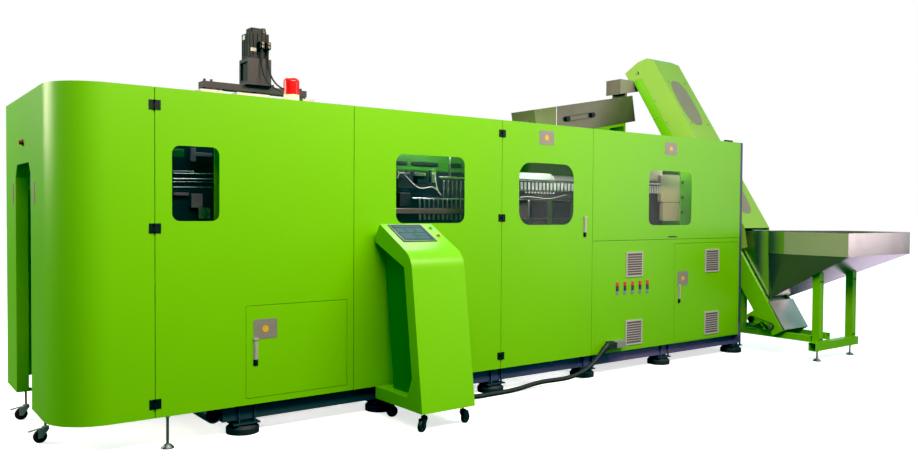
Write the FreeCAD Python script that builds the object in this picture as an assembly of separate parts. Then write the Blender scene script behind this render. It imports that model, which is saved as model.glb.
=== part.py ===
import FreeCAD, Part
import math
import os

V = FreeCAD.Vector

# A linear stretch blow moulding machine: a long sheet-metal enclosure on a welded base, an electrical cabinet
# in its front, a stretch drive on the roof, a preform hopper with an inclined elevator and an unscrambler,
# and a control console that stands on casters. Lengths are millimetres.
# While it is drawn: x = 0 is the left end face, y = 0 the front face and z = 0 the floor. The drawing is moved
# at the end so that the origin lies under the middle of the first machine mount.

# ---------------------------------------------------------------- driving dimensions
LENGTH = 6060.0             # enclosure, left end face to the right end
DEPTH = 1800.0              # front face to rear face
HEIGHT = 2050.0             # floor to the top edge of the panels
CLEARANCE_UNDER = 190.0     # floor to the bottom edge of the panels
SHEET = 2.0                 # panel sheet
PAN = 20.0                  # depth of a panel's folded edge
SEAM_GAP = 4.0              # open joint between two panels
END_BAY, BLOW_BAY, TRANSFER_BAY, OVEN_BAY = 520.0, 1270.0, 1260.0, 970.0    # the feed bay is what is left
SEAM_1 = END_BAY
SEAM_2 = SEAM_1 + BLOW_BAY
SEAM_3 = SEAM_2 + TRANSFER_BAY
SEAM_4 = SEAM_3 + OVEN_BAY
TRANSFER_MID, OVEN_MID, FEED_MID = (SEAM_2 + SEAM_3) / 2, (SEAM_3 + SEAM_4) / 2, (SEAM_4 + LENGTH) / 2
TUBE = 40.0                 # square tube of the enclosure frame
TUBE_WALL = 2.0
ROOF_RAIL = 570.0           # middle line to the outer side of the roof rails and of the clamp
MID_Y = DEPTH / 2

CORNER_RADIUS = 280.0       # round corners of the two end doors
SLOT_WIDTH = 530.0          # bottle outlet between the end doors
SLOT_TOP = HEIGHT - 410.0
SLOT_CHAMFER = 60.0
SLOT_CHAMFER_RISE = 75.0
SLOT_RETURN = 70.0          # fold that lines the outlet
DOOR_SEAM = 2.0
DOOR_SHEET = 3.0

BEAM_HEIGHT = 190.0         # main base beams
BEAM_WIDTH = 120.0
BEAM_WALL = 8.0
BEAM_UNDER = 90.0           # floor to the underside of the beams
BEAM_SET_BACK = 60.0        # panel face to the beam's outer side
BEAM_START = 930.0
BEAM_OVERHANG = 120.0       # the beams run on past the enclosure's right end
CROSS_DROP = 20.0           # cross members are this much lower than the beams
MOUNT_FIRST = 1080.0
MOUNT_PITCH = 985.0         # all but the last
MOUNT_COUNT = 6
MOUNT_LAST_INSET = 60.0     # last mount from the beams' right end
BRACKET_HALF = 55.0
BRACKET_REACH = 75.0
MOUNT_RADIUS = 100.0
MOUNT_HEIGHT = 52.0

CABINET_TOP = 1131.0
WINDOWS = {                 # x0, x1, z0, z1, corner radius
    "blow": (SEAM_1 + 95, SEAM_1 + 370, HEIGHT - 750, HEIGHT - 320, 45.0),
    "transfer": (TRANSFER_MID - 305, TRANSFER_MID + 280, HEIGHT - 767, HEIGHT - 295, 60.0),
    "oven": (OVEN_MID - 315, OVEN_MID + 265, HEIGHT - 785, HEIGHT - 305, 110.0),
    "feed": (FEED_MID - 320, FEED_MID + 270, CABINET_TOP + 126, HEIGHT - 312, 60.0),
}
PANE_LAP = 25.0
PANE = 5.0

ACCESS = (SEAM_2 - 735, SEAM_2 - 50, 230.0, 787.0)     # x0, x1, z0, z1 of the access door
DOOR_GAP = 3.0
CABINET_DEPTH = 400.0
CABINET_DOOR = (FEED_MID + 50, LENGTH - 30, 200.0, CABINET_TOP - 41)
CABINET_PANEL = (SEAM_4 + 40, FEED_MID + 30, 200.0, CABINET_TOP - 41)
PANEL_MID = (CABINET_PANEL[0] + CABINET_PANEL[1]) / 2
VENT = 214.0
VENT_XS = (PANEL_MID - 135, (CABINET_DOOR[0] + CABINET_DOOR[1]) / 2 - 40)
VENT_ZS = (232.0, CABINET_TOP - 315)
SWITCH_PITCH, SWITCH_COUNT = 96.0, 5
SWITCH_FIRST = PANEL_MID - 259
SWITCH_WIDTH, SWITCH_HEIGHT, SWITCH_Z = 32.0, 109.0, 672.0
HINGE_LEAF = 26.0
HINGE_HEIGHT = 56.0
HINGE_PROUD = 8.0           # hinge axis in front of the panel
HINGE_BARREL = 6.0
HINGE_LEAF_THICK = 3.0
END_HINGE_ZS = (270.0, 1260.0, HEIGHT - 100)
WINDOW_HINGE_ZS = (285.0, 1320.0, HEIGHT - 100)
LEVER_LENGTH, LEVER_WIDTH, LEVER_THICK = 140.0, 18.0, 9.0
# x and the top z of the three swing handles
ACCESS_LEVER = (ACCESS[0] + 59, 574.0)
WINDOW_LEVER = (SEAM_4 - 90, 1316.0)
CABINET_LEVER = (CABINET_DOOR[0] + 58, 702.0)

CASTER_RADIUS, CASTER_WIDTH, CASTER_TRAIL = 37.5, 24.0, 28.0
AXLE_RADIUS = 5.0
RUNNING = 0.05              # radial clearance of a shaft in its bore
FREE = 0.3                  # clearance between pieces that pass each other
DOOR_CASTER = (60.0, MID_Y - 325)

ELEVATOR_X, ELEVATOR_WIDTH = LENGTH + 140.0, 420.0
ELEVATOR_ANGLE = 57.3
ELEVATOR_REF = (DEPTH - 1180.0, HEIGHT + 90.0)      # y and z of the cover's face at s = 0
BELT_AXIS_N = -245.0
BELT_DRUM = 40.0
BELT_THICK = 4.0
HEAD_S = 1090.0
FOOT_Z = 290.96             # height of the foot shaft
FOOT_S = (FOOT_Z - ELEVATOR_REF[1] - BELT_AXIS_N * math.cos(math.radians(ELEVATOR_ANGLE))) / math.sin(
    math.radians(ELEVATOR_ANGLE))
FOOT_Y = ELEVATOR_REF[0] + FOOT_S * math.cos(math.radians(ELEVATOR_ANGLE)) - BELT_AXIS_N * math.sin(
    math.radians(ELEVATOR_ANGLE))
CLEAT_HEIGHT, CLEAT_PITCH = 29.0, 240.0
ELEVATOR_PLATE = 4.0
TOP_FLANGE = 34.0
SHAFT_RADIUS = 15.0
FRAME_LOW_N, FRAME_TOP_N = -345.0, -170.0
COVER_LOW_N = -233.0
DRIVE_PULLEY = 28.0

HOPPER_LEFT, HOPPER_RIGHT, HOPPER_FRONT = ELEVATOR_X, ELEVATOR_X + 1170.0, FOOT_Y - 729.08
HOPPER_RIM_LOW, HOPPER_RIM_TOP = 986.0, 1195.0
HOPPER_BACK = HOPPER_FRONT + 620      # back wall at the right side
HOPPER_JOG = 55.0           # the left side steps in beside the elevator, from the first to the second y
HOPPER_JOG_YS = (HOPPER_FRONT + 610, HOPPER_FRONT + 815)
THROAT_Z = 540.0
HOPPER_SHEET = 3.0
LEG = 70.0
STRINGER = 60.0
LEG_XS = (ELEVATOR_X + 85, ELEVATOR_X + 685)
LEG_FRONT = HOPPER_FRONT + 305
FOOT_BEAM = (ELEVATOR_X + 30, ELEVATOR_X + 810, 100.0, 176.0)

TROUGH_X0, TROUGH_X1 = LENGTH - 1425, LENGTH + 40
TROUGH_Y0, TROUGH_WIDTH, TROUGH_DEPTH = DEPTH - 400, 350.0, 284.0
TROUGH_TOP = HEIGHT + 340   # top edge at its left end
TROUGH_ANGLE = 10.6
ROLLER_RADIUS, ROLLER_SPREAD = 30.0, 86.0

STRETCH_X = 1490.0          # middle of the stretch drive
STRETCH_ROD = 330.0
CAVITY_COUNT, CAVITY_PITCH = 6, 104.0
MOULD_OPEN = 140.0
MOULD_HEIGHT, MOULD_DEPTH = 420.0, 150.0
PLATEN_THICK = 50.0
COLUMN_RADIUS = 20.0
TIE_BAR = 25.0

CONSOLE_X, CONSOLE_WIDTH = 1940.0, 410.0
CONSOLE_INSET = 70.0
CONSOLE_SHEET = 2.5
BUTTON_RADIUS = 11.0


# ---------------------------------------------------------------- helpers
def box(x0, x1, y0, y1, z0, z1):
    return Part.makeBox(x1 - x0, y1 - y0, z1 - z0, V(x0, y0, z0))


def rod(start, end, radius):
    along = end - start
    return Part.makeCylinder(radius, along.Length, start, along)


def prism(points, vector):
    face = Part.Face(Part.makePolygon(points + [points[0]]))
    return face.extrude(vector)


def prism_x(points, x0, x1):
    return prism([V(x0, y, z) for y, z in points], V(x1 - x0, 0, 0))


def prism_y(points, y0, y1):
    return prism([V(x, y0, z) for x, z in points], V(0, y1 - y0, 0))


def prism_z(points, z0, z1):
    return prism([V(x, y, z0) for x, y in points], V(0, 0, z1 - z0))


def fuse(shapes):
    joined = shapes[0].fuse(shapes[1:]) if len(shapes) > 1 else shapes[0]
    return joined.removeSplitter()


def round_edges(shape, radius, axis):
    edges = []
    for edge in shape.Edges:
        if isinstance(edge.Curve, Part.Line) and abs(edge.Curve.Direction.dot(axis)) > 0.999:
            edges.append(edge)
    return shape.makeFillet(radius, edges)


def rounded_y(x0, x1, z0, z1, radius, y0, y1):
    return round_edges(box(x0, x1, y0, y1, z0, z1), radius, V(0, 1, 0))


def square_tube(x0, x1, y0, y1, z0, z1, wall, axis):
    """A rectangular hollow section that runs along one axis and is open at its ends."""
    inset = {"x": (0, wall, wall), "y": (wall, 0, wall), "z": (wall, wall, 0)}[axis]
    inner = box(x0 + inset[0], x1 - inset[0], y0 + inset[1], y1 - inset[1], z0 + inset[2], z1 - inset[2])
    return box(x0, x1, y0, y1, z0, z1).cut(inner)


def pan(x0, x1, z0, z1, front=True):
    """A flat sheet whose four edges are folded inwards."""
    if front:
        outer, inner = (0, PAN), (SHEET, PAN)
    else:
        outer, inner = (DEPTH - PAN, DEPTH), (DEPTH - PAN, DEPTH - SHEET)
    shell = box(x0, x1, outer[0], outer[1], z0, z1)
    return shell.cut(box(x0 + SHEET, x1 - SHEET, inner[0], inner[1], z0 + SHEET, z1 - SHEET))


def mirror_y(shape):
    return shape.mirror(V(0, MID_Y, 0), V(0, 1, 0))


def window_cut(name):
    x0, x1, z0, z1, radius = WINDOWS[name]
    radius = min(radius, 0.49 * (x1 - x0), 0.49 * (z1 - z0))
    return rounded_y(x0, x1, z0, z1, radius, -1.0, PAN + 1.0)


def window_pane(name):
    """A clear sheet that lies against the inside of the panel, larger than its opening."""
    x0, x1, z0, z1, radius = WINDOWS[name]
    lap = PANE_LAP
    radius = min(radius, 0.49 * (x1 - x0), 0.49 * (z1 - z0))
    return rounded_y(x0 - lap, x1 + lap, z0 - lap, z1 + lap, radius, SHEET, SHEET + PANE)


def hinge_half(seam, z, side, moving):
    """One half of a black lift-off hinge: a leaf on the panel face and its part of the barrel."""
    low, high = z - HINGE_HEIGHT / 2, z + HINGE_HEIGHT / 2
    third = HINGE_HEIGHT / 3
    near, far = seam + side * (HINGE_BARREL + 1), seam + side * (HINGE_BARREL + 1 + HINGE_LEAF)
    pieces = [box(min(near, far), max(near, far), -HINGE_LEAF_THICK, 0, low, high)]
    if moving:
        spans = ((low, low + third - FREE), (high - third + FREE, high))
    else:
        spans = ((low + third, high - third),)
    for z0, z1 in spans:
        knuckle = box(min(seam, near), max(seam, near), -HINGE_PROUD, -FREE, z0, z1)
        pieces += [rod(V(seam, -HINGE_PROUD, z0), V(seam, -HINGE_PROUD, z1), HINGE_BARREL), knuckle]
    return fuse(pieces)


def lever(x, z_top):
    """A swing handle's lever, hinged at its top end in the escutcheon."""
    y1 = -5.0
    bar = box(x - LEVER_WIDTH / 2, x + LEVER_WIDTH / 2, y1 - LEVER_THICK, y1, z_top - LEVER_LENGTH, z_top)
    return round_edges(bar, 3.0, V(0, 0, 1))


def escutcheon(x, z_top):
    """The fixed dish behind a lever, with the cheeks that hold its pivot."""
    half = LEVER_WIDTH / 2
    plate = box(x - half - 6, x + half + 6, -5 + FREE, 0, z_top - LEVER_LENGTH - 10, z_top + 18)
    cap = box(x - half - 6, x + half + 6, -5 - LEVER_THICK, 0, z_top + 6, z_top + 18)
    return round_edges(fuse([plate, cap]), 2.0, V(0, 0, 1))


def vent(x, z):
    """A filter grille: a raised frame with level slats."""
    frame = box(x, x + VENT, -8, 0, z, z + VENT)
    window = box(x + 14, x + VENT - 14, -9, -3, z + 14, z + VENT - 14)
    grille = frame.cut(window)
    slats = 9
    pitch = (VENT - 28) / slats
    for k in range(1, slats):
        zc = z + 14 + k * pitch
        grille = grille.fuse(box(x + 14, x + VENT - 14, -7, -3, zc - 3, zc + 3))
    return grille.removeSplitter()


def caster(x, y, top, trail_angle, pedal):
    """A swivel caster: fork with its swivel head and stem, and a wheel on a fixed axle."""
    radius, half = CASTER_RADIUS, CASTER_WIDTH / 2
    crown = 2 * radius + 3
    leg_in, leg_out = half + 2, half + 5
    parts = [
        box(-CASTER_TRAIL - 14, 20, -leg_out, leg_out, crown, crown + 4),
        rod(V(0, 0, crown), V(0, 0, crown + 16), 20),
        rod(V(0, 0, crown), V(0, 0, top), 7),
        rod(V(-CASTER_TRAIL, -leg_out, radius), V(-CASTER_TRAIL, leg_out, radius), AXLE_RADIUS),
    ]
    cheek = [(-CASTER_TRAIL - 14, crown + 4), (20, crown + 4), (-CASTER_TRAIL + 12, radius - 8),
             (-CASTER_TRAIL - 12, radius - 8)]
    for y0, y1 in ((-leg_out, -leg_in), (leg_in, leg_out)):
        parts.append(prism_y(cheek, y0, y1))
    if pedal:
        tread = [(-14, crown + 4), (-14, crown + 9), (-CASTER_TRAIL - 62, crown - 3), (-CASTER_TRAIL - 62, crown - 8),
                 (-CASTER_TRAIL - 14, crown + 2), (-CASTER_TRAIL - 14, crown + 4)]
        parts.append(prism_y(tread, -13, 13))
    fork = fuse(parts)
    hub = V(-CASTER_TRAIL, -half, radius)
    wheel = Part.makeCylinder(radius, CASTER_WIDTH, hub, V(0, 1, 0))
    wheel = wheel.makeChamfer(3.0, [e for e in wheel.Edges if isinstance(e.Curve, Part.Circle)])
    wheel = wheel.cut(Part.makeCylinder(AXLE_RADIUS + RUNNING, CASTER_WIDTH, hub, V(0, 1, 0)))
    for shape in (fork, wheel):
        shape.rotate(V(0, 0, 0), V(0, 0, 1), trail_angle)
        shape.translate(V(x, y, 0))
    return fork, wheel


def slope(s, n):
    """A point of the elevator's side view: s runs up its slope and n out of its cover. Gives y and z."""
    c, k = math.cos(math.radians(ELEVATOR_ANGLE)), math.sin(math.radians(ELEVATOR_ANGLE))
    return ELEVATOR_REF[0] + s * c - n * k, ELEVATOR_REF[1] + s * k + n * c


def slope_prism(points, x0, x1):
    return prism_x([slope(s, n) for s, n in points], x0, x1)


def slope_rod(s, n, x0, x1, radius):
    y, z = slope(s, n)
    return rod(V(x0, y, z), V(x1, y, z), radius)


def tube_path(points):
    """Straight runs joined by tangent arcs, each arc as large as its two runs allow."""
    edges, radii = [], []
    start = points[0]
    for i in range(1, len(points) - 1):
        a, b, c = points[i - 1], points[i], points[i + 1]
        u, w = (a - b), (c - b)
        reach = 0.45 * min(u.Length, w.Length)
        u.normalize()
        w.normalize()
        turn = math.pi - u.getAngle(w)
        radii.append(reach / math.tan(turn / 2))
        first, last = b + u * reach, b + w * reach
        middle = u + w
        middle.normalize()
        to_centre = radii[-1] / math.cos(turn / 2)
        top = b + middle * (to_centre - radii[-1])
        edges += [Part.LineSegment(start, first).toShape(), Part.Arc(first, top, last).toShape()]
        start = last
    edges.append(Part.LineSegment(start, points[-1]).toShape())
    return Part.Wire(edges), radii


def cord(name, points, diameter):
    """A round tube along a cord's route. Prints its length, least radius and volume ratio."""
    path, radii = tube_path([V(*p) for p in points])
    ring = Part.Wire(Part.makeCircle(diameter / 2, V(*points[0]), V(*points[1]) - V(*points[0])))
    solid = path.makePipeShell([ring], True, False)
    length = path.Length
    ratio = solid.Volume / (math.pi * diameter ** 2 / 4 * length)
    print("%s: length %.0f mm, least radius %.0f mm (%.1f diameters), volume ratio %.4f"
          % (name, length, min(radii), min(radii) / diameter, ratio))
    return solid


# ---------------------------------------------------------------- welded base and mounts
def mount_xs():
    regular = [MOUNT_FIRST + k * MOUNT_PITCH for k in range(MOUNT_COUNT - 1)]
    return regular + [LENGTH + BEAM_OVERHANG - MOUNT_LAST_INSET]


def beam_ys():
    front = (BEAM_SET_BACK, BEAM_SET_BACK + BEAM_WIDTH)
    return front, (DEPTH - front[1], DEPTH - front[0])


def base_frame():
    top = BEAM_UNDER + BEAM_HEIGHT
    (f0, f1), (r0, r1) = beam_ys()
    solids = []
    for y0, y1 in ((f0, f1), (r0, r1)):
        solids.append(square_tube(BEAM_START, LENGTH + BEAM_OVERHANG, y0, y1, BEAM_UNDER, top, BEAM_WALL, "x"))
    half, plate, seat = BRACKET_HALF, 10.0, MOUNT_HEIGHT + 8
    for x in mount_xs():
        solids.append(square_tube(x - 50, x + 50, f1, r0, BEAM_UNDER + CROSS_DROP, top - CROSS_DROP, 6, "y"))
        for y0, y1, out in ((f0, f1, -1), (r0, r1, 1)):
            middle = (y0 + y1) / 2
            foot = box(x - half - 30, x + half + 30, middle - BRACKET_REACH, middle + BRACKET_REACH,
                       seat, seat + plate)
            web = box(x - half, x + half, middle - 40, middle + 40, seat + plate, BEAM_UNDER)
            edge = middle + out * BRACKET_REACH
            side = y0 if out < 0 else y1
            cheeks = [foot, web]
            for xc in (x - half, x + half - plate):
                cheeks.append(box(xc, xc + plate, min(edge, side), max(edge, side), seat + plate, CLEARANCE_UNDER))
            solids.append(fuse(cheeks))
    # the round tube across the end takes lifting slings
    tube_x, tube_z, tube_r = BEAM_START - 50, BEAM_UNDER + 50, 50.0
    lifting = rod(V(tube_x, f0 + 10, tube_z), V(tube_x, r1 - 10, tube_z), tube_r)
    solids.append(lifting.cut(rod(V(tube_x, f0, tube_z), V(tube_x, r1, tube_z), tube_r - 6)))
    # corner posts at the right end, of the same dark painted tube
    inset = 2.0
    front_edge = (f0 + f1) / 2 - BRACKET_REACH
    for y0, lug0, lug1 in ((inset, inset, front_edge), (DEPTH - inset - TUBE, DEPTH - front_edge, DEPTH - inset)):
        solids.append(square_tube(LENGTH, LENGTH + TUBE, y0, y0 + TUBE, CLEARANCE_UNDER, HEIGHT, 3, "z"))
        solids.append(box(LENGTH, LENGTH + TUBE, lug0, lug1, CLEARANCE_UNDER - 20, CLEARANCE_UNDER))
    return solids


def levelling_foot(x, y, top, pad_radius, stud_radius):
    """A rubber-soled pad with a threaded stud and a lock nut."""
    pad = Part.makeCone(pad_radius, pad_radius * 0.55, 16, V(x, y, 6))
    sole = Part.makeCylinder(pad_radius, 6, V(x, y, 0))
    stud = Part.makeCylinder(stud_radius, top - 22, V(x, y, 22))
    nut = prism_z([(x + stud_radius * 1.8 * math.cos(a), y + stud_radius * 1.8 * math.sin(a))
                   for a in [math.radians(60 * k) for k in range(6)]], top - stud_radius * 1.8, top)
    return fuse([pad, sole, stud, nut])


def machine_mounts():
    """Round rubber mounts under the base, and slim levelling feet under the left panel and the hopper stand."""
    (f0, f1), (r0, r1) = beam_ys()
    solids = []
    for x in mount_xs():
        for y in ((f0 + f1) / 2, (r0 + r1) / 2):
            puck = Part.makeCylinder(MOUNT_RADIUS, MOUNT_HEIGHT, V(x, y, 0))
            upper = [e for e in puck.Edges if isinstance(e.Curve, Part.Circle) and e.BoundBox.ZMin > 1]
            puck = puck.makeChamfer(MOUNT_HEIGHT / 3, upper)
            solids.append(fuse([puck, Part.makeCylinder(22, 8, V(x, y, MOUNT_HEIGHT))]))
    for y in (PAN + TUBE / 2, DEPTH - PAN - TUBE / 2):
        solids.append(levelling_foot(SEAM_1 + 80, y, CLEARANCE_UNDER + 2, 36, 8))
    for x in (LEG_XS[0] + LEG / 2, LEG_XS[1] + LEG / 2):
        for y in (LEG_FRONT + LEG / 2, REAR_LEG_Y + LEG / 2):
            solids.append(levelling_foot(x, y, FOOT_BEAM[2], 36, 7))
    return solids


# ---------------------------------------------------------------- enclosure
def enclosure_frame():
    """Posts and rails of square tube, cut and butted, with the sheet-metal stand of the unscrambler on top."""
    solids = []
    low, high = CLEARANCE_UNDER + SHEET, HEIGHT - SHEET - TUBE
    front = PAN
    rear = DEPTH - PAN - TUBE
    posts = (SEAM_1 + 20, SEAM_2 - TUBE / 2, SEAM_3 - TUBE - 5, SEAM_4 + 45, LENGTH - TUBE)
    for x in posts:
        for y in (front, rear):
            solids.append(square_tube(x, x + TUBE, y, y + TUBE, low + TUBE, high, TUBE_WALL, "z"))
    joints = (STRETCH_OPENING[0] - TUBE / 2, STRETCH_OPENING[1] - TUBE / 2)
    for x in (posts[0],) + joints + posts[2:]:
        solids.append(square_tube(x, x + TUBE, front + TUBE, rear, high, high + TUBE, TUBE_WALL, "y"))
    for y in (front, rear):
        solids.append(square_tube(posts[0], LENGTH, y, y + TUBE, high, high + TUBE, TUBE_WALL, "x"))
        solids.append(square_tube(posts[0], LENGTH, y, y + TUBE, low, low + TUBE, TUBE_WALL, "x"))
    # two roof rails reach over the end doors, tied by a cross rail
    reach = 80.0
    near, far = MID_Y - ROOF_RAIL, MID_Y + ROOF_RAIL - TUBE
    for y in (near, far):
        solids.append(square_tube(reach, posts[0], y, y + TUBE, high, high + TUBE, TUBE_WALL, "x"))
    solids.append(square_tube(reach, reach + TUBE, near + TUBE, far, high, high + TUBE, TUBE_WALL, "y"))
    solids += trough_stand()
    return solids


def trough_z(x):
    return TROUGH_TOP + (x - TROUGH_X0) * math.tan(math.radians(TROUGH_ANGLE))


def trough_stand():
    """Two wedge-shaped cheeks with an opening each, and a cross plate, folded from one thickness of sheet."""
    x0, x1 = LENGTH - 640, LENGTH - 60
    under = TROUGH_DEPTH / math.cos(math.radians(TROUGH_ANGLE))
    roof = HEIGHT
    cheek = [(x0, roof), (x1, roof), (x1, trough_z(x1) - under), (x0, trough_z(x0) - under)]
    hole = [(x0 + 330, roof + 40), (x1 - 30, roof + 40), (x1 - 30, trough_z(x1 - 30) - under - 30),
            (x0 + 330, trough_z(x0 + 330) - under - 30)]
    stand = []
    for y0 in (TROUGH_Y0 + 6, TROUGH_Y0 + TROUGH_WIDTH - 12):
        stand.append(prism_y(cheek, y0, y0 + 6).cut(prism_y(hole, y0 - 1, y0 + 7)))
    stand.append(box(x1 - 6, x1, TROUGH_Y0 + 12, TROUGH_Y0 + TROUGH_WIDTH - 12, roof, trough_z(x1 - 6) - under))
    return stand


def front_panels():
    half = SEAM_GAP / 2
    low, high = CLEARANCE_UNDER, HEIGHT
    left = pan(SEAM_1 + half, SEAM_2 - half, low, high).cut(window_cut("blow"))
    ax0, ax1, az0, az1 = ACCESS
    hole = (ax0 - DOOR_GAP, ax1 + DOOR_GAP, az0 - DOOR_GAP, az1 + DOOR_GAP)
    left = left.cut(box(hole[0], hole[1], -1, PAN + 1, hole[2], hole[3]))
    # a stop strip behind the access door's free edges
    stop = box(hole[0] - 12, hole[1] - 30, SHEET, 2 * SHEET, hole[2] - 12, hole[3] + 12)
    stop = stop.cut(box(hole[0] - DOOR_GAP, hole[1] + 60, 0, PAN, hole[2] - DOOR_GAP, hole[3] + DOOR_GAP))
    left = fuse([left, stop])
    middle = pan(SEAM_2 + half, SEAM_3 - half, low, high).cut(window_cut("transfer"))
    right = pan(SEAM_4 + half, LENGTH, CABINET_TOP + half, high).cut(window_cut("feed"))
    solids = [left, middle, right]
    for z in END_HINGE_ZS:
        solids.append(hinge_half(SEAM_1, z, 1, False))
    for z in WINDOW_HINGE_ZS:
        solids.append(hinge_half(SEAM_3, z, -1, False))
    return solids


def window_panes():
    return [window_pane(name) for name in ("blow", "transfer", "feed")]


def rear_panels():
    """Plain folded panels on the rear, two to a bay, the far door's fixed hinge halves and the right end's panel."""
    half = SEAM_GAP / 2
    solids = [mirror_y(hinge_half(SEAM_1, z, 1, False)) for z in END_HINGE_ZS]
    seams = (SEAM_1, SEAM_2, SEAM_3, SEAM_4, LENGTH)
    for x0, x1 in zip(seams, seams[1:]):
        for z0, z1 in ((CLEARANCE_UNDER, CABINET_TOP - half), (CABINET_TOP + half, HEIGHT)):
            leaf = pan(x0 + half, x1 - half, z0, z1, front=False)
            grip_x, grip_z = x1 - 110, (z0 + z1) / 2
            grip = rounded_y(grip_x - 18, grip_x + 18, grip_z - 60, grip_z + 60, 17, DEPTH - PAN, DEPTH + 1)
            solids.append(leaf.cut(grip))
    # the end panel stands between the corner posts and clears the beams that run on below it
    low, side = BEAM_UNDER + BEAM_HEIGHT + SHEET, TUBE + 4
    end = box(LENGTH, LENGTH + PAN, side, DEPTH - side, low, HEIGHT)
    inner = box(LENGTH, LENGTH + PAN - SHEET, side + SHEET, DEPTH - side - SHEET, low + SHEET, HEIGHT - SHEET)
    solids.append(end.cut(inner))
    return solids


STRETCH_OPENING = (1000.0, 1980.0, MID_Y - 300, MID_Y + 300)
CHUTE_OPENING = (SEAM_4 + 160, SEAM_4 + 620, TROUGH_Y0 + 100, TROUGH_Y0 + 250)


def roof_panels():
    """Five roof sheets that meet over the top rails, open under the stretch drive and the preform chute."""
    t, z = SHEET, HEIGHT - SHEET
    edge = PAN + 2
    inset, half = 12.0, 1.0             # clear of the end doors, and half the joint between two sheets
    x0, x1, y0, y1 = STRETCH_OPENING
    end = box(inset, x0 - half, inset, DEPTH - inset, z, z + t)
    end = end.makeFillet(CORNER_RADIUS - inset, [e for e in end.Edges if abs(e.BoundBox.XMax - inset) < 1
                                                 and e.BoundBox.ZLength > 1])
    for y in (0, DEPTH - edge):
        end = end.cut(box(SEAM_1, x0, y, y + edge, z - 1, z + t + 1))
    solids = [end]
    for ya, yb in ((edge, y0), (y1, DEPTH - edge)):
        solids.append(box(x0 + half, x1 - half, ya, yb, z, z + t))
    solids.append(box(x1 + half, SEAM_4 - half, edge, DEPTH - edge, z, z + t))
    right = box(SEAM_4 + half, LENGTH - half, edge, DEPTH - edge, z, z + t)
    cx0, cx1, cy0, cy1 = CHUTE_OPENING
    solids.append(right.cut(box(cx0, cx1, cy0, cy1, z - 1, z + t + 1)))
    # cable glands near the right end
    for k in range(4):
        x = LENGTH - 60 - 34 * k
        solids.append(Part.makeCylinder(12, 22, V(x, 60, z + t)))
    return solids


# ---------------------------------------------------------------- end doors
def slot_outline(grow):
    """The outlet's outline in y and z, with its two upper corners cut off."""
    y0, y1 = MID_Y - SLOT_WIDTH / 2 - grow, MID_Y + SLOT_WIDTH / 2 + grow
    top, cut, rise = SLOT_TOP + grow, SLOT_CHAMFER + 0.4 * grow, SLOT_CHAMFER_RISE + 0.4 * grow
    low = CLEARANCE_UNDER - 10
    return [(y0, low), (y0, top - rise), (y0 + cut, top), (y1 - cut, top), (y1, top - rise), (y1, low)]


def end_door():
    """The near end door: front strip, round corner and half of the end face, folded from one sheet."""
    t = DOOR_SHEET
    x1, y1 = SEAM_1 - SEAM_GAP / 2, MID_Y - DOOR_SEAM / 2
    low, high = CLEARANCE_UNDER, HEIGHT
    fold = high - SHEET - t - FREE      # underside of the top fold, which clears the roof sheet

    def block(inset, z0, z1):
        solid = box(inset, x1, inset, y1, z0, z1)
        corner = [e for e in solid.Edges if e.BoundBox.ZLength > 1 and e.BoundBox.XMax < inset + 1
                  and e.BoundBox.YMax < inset + 1]
        return solid.makeFillet(CORNER_RADIUS - inset, corner)

    skin = block(0, low, high).cut(block(t, low - 1, high + 1))
    pieces = [skin, box(x1 - t, x1, t / 2, PAN, low, fold)]
    for z0 in (low, fold):
        pieces.append(block(t / 2, z0, z0 + t).cut(block(2 * PAN, z0, z0 + t)))
    door = fuse(pieces).cut(prism_x(slot_outline(0), -5, SEAM_1 + 5))
    lining = prism_x(slot_outline(t), 0, SLOT_RETURN).cut(prism_x(slot_outline(0), -1, SLOT_RETURN + 1))
    lining = lining.common(box(-1, SLOT_RETURN + 1, 0, y1, low, high))
    seam_fold = box(0, PAN, y1 - t, y1, SLOT_TOP, fold)
    edge = MID_Y - SLOT_WIDTH / 2
    caster_plate = box(DOOR_CASTER[0] - 35, DOOR_CASTER[0] + 35, edge - 90, edge, low, low + 8)
    return fuse([door, lining, seam_fold, caster_plate])


def near_end_door():
    solids = [end_door()]
    for z in END_HINGE_ZS:
        solids.append(hinge_half(SEAM_1, z, -1, True))
    # door switch on the outlet's lining, and the round latch knob near the seam
    edge = MID_Y - SLOT_WIDTH / 2
    high = SLOT_TOP - SLOT_CHAMFER_RISE - 5
    switch = fuse([box(8, 46, edge, edge + 34, high - 165, high - 80), box(4, 50, edge, edge + 50, high - 80, high)])
    y, z = MID_Y - 24, SLOT_TOP + 126
    knob = fuse([rod(V(0, y, z), V(-8, y, z), 20), rod(V(-8, y, z), V(-24, y, z), 13)])
    return solids + [switch, knob]


def far_end_door():
    solids = [mirror_y(end_door())]
    return solids + [mirror_y(hinge_half(SEAM_1, z, -1, True)) for z in END_HINGE_ZS]


# ---------------------------------------------------------------- front doors and electrical cabinet
def door_leaf(x0, x1, z0, z1):
    return pan(x0, x1, z0, z1)


def access_door():
    x0, x1, z0, z1 = ACCESS
    return [fuse([door_leaf(x0, x1, z0, z1), escutcheon(*ACCESS_LEVER)])]


def window_door():
    half = SEAM_GAP / 2
    leaf = door_leaf(SEAM_3 + half, SEAM_4 - half, CLEARANCE_UNDER, HEIGHT).cut(window_cut("oven"))
    leaf = fuse([leaf, escutcheon(*WINDOW_LEVER)])
    return [leaf] + [hinge_half(SEAM_3, z, 1, True) for z in WINDOW_HINGE_ZS]


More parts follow.
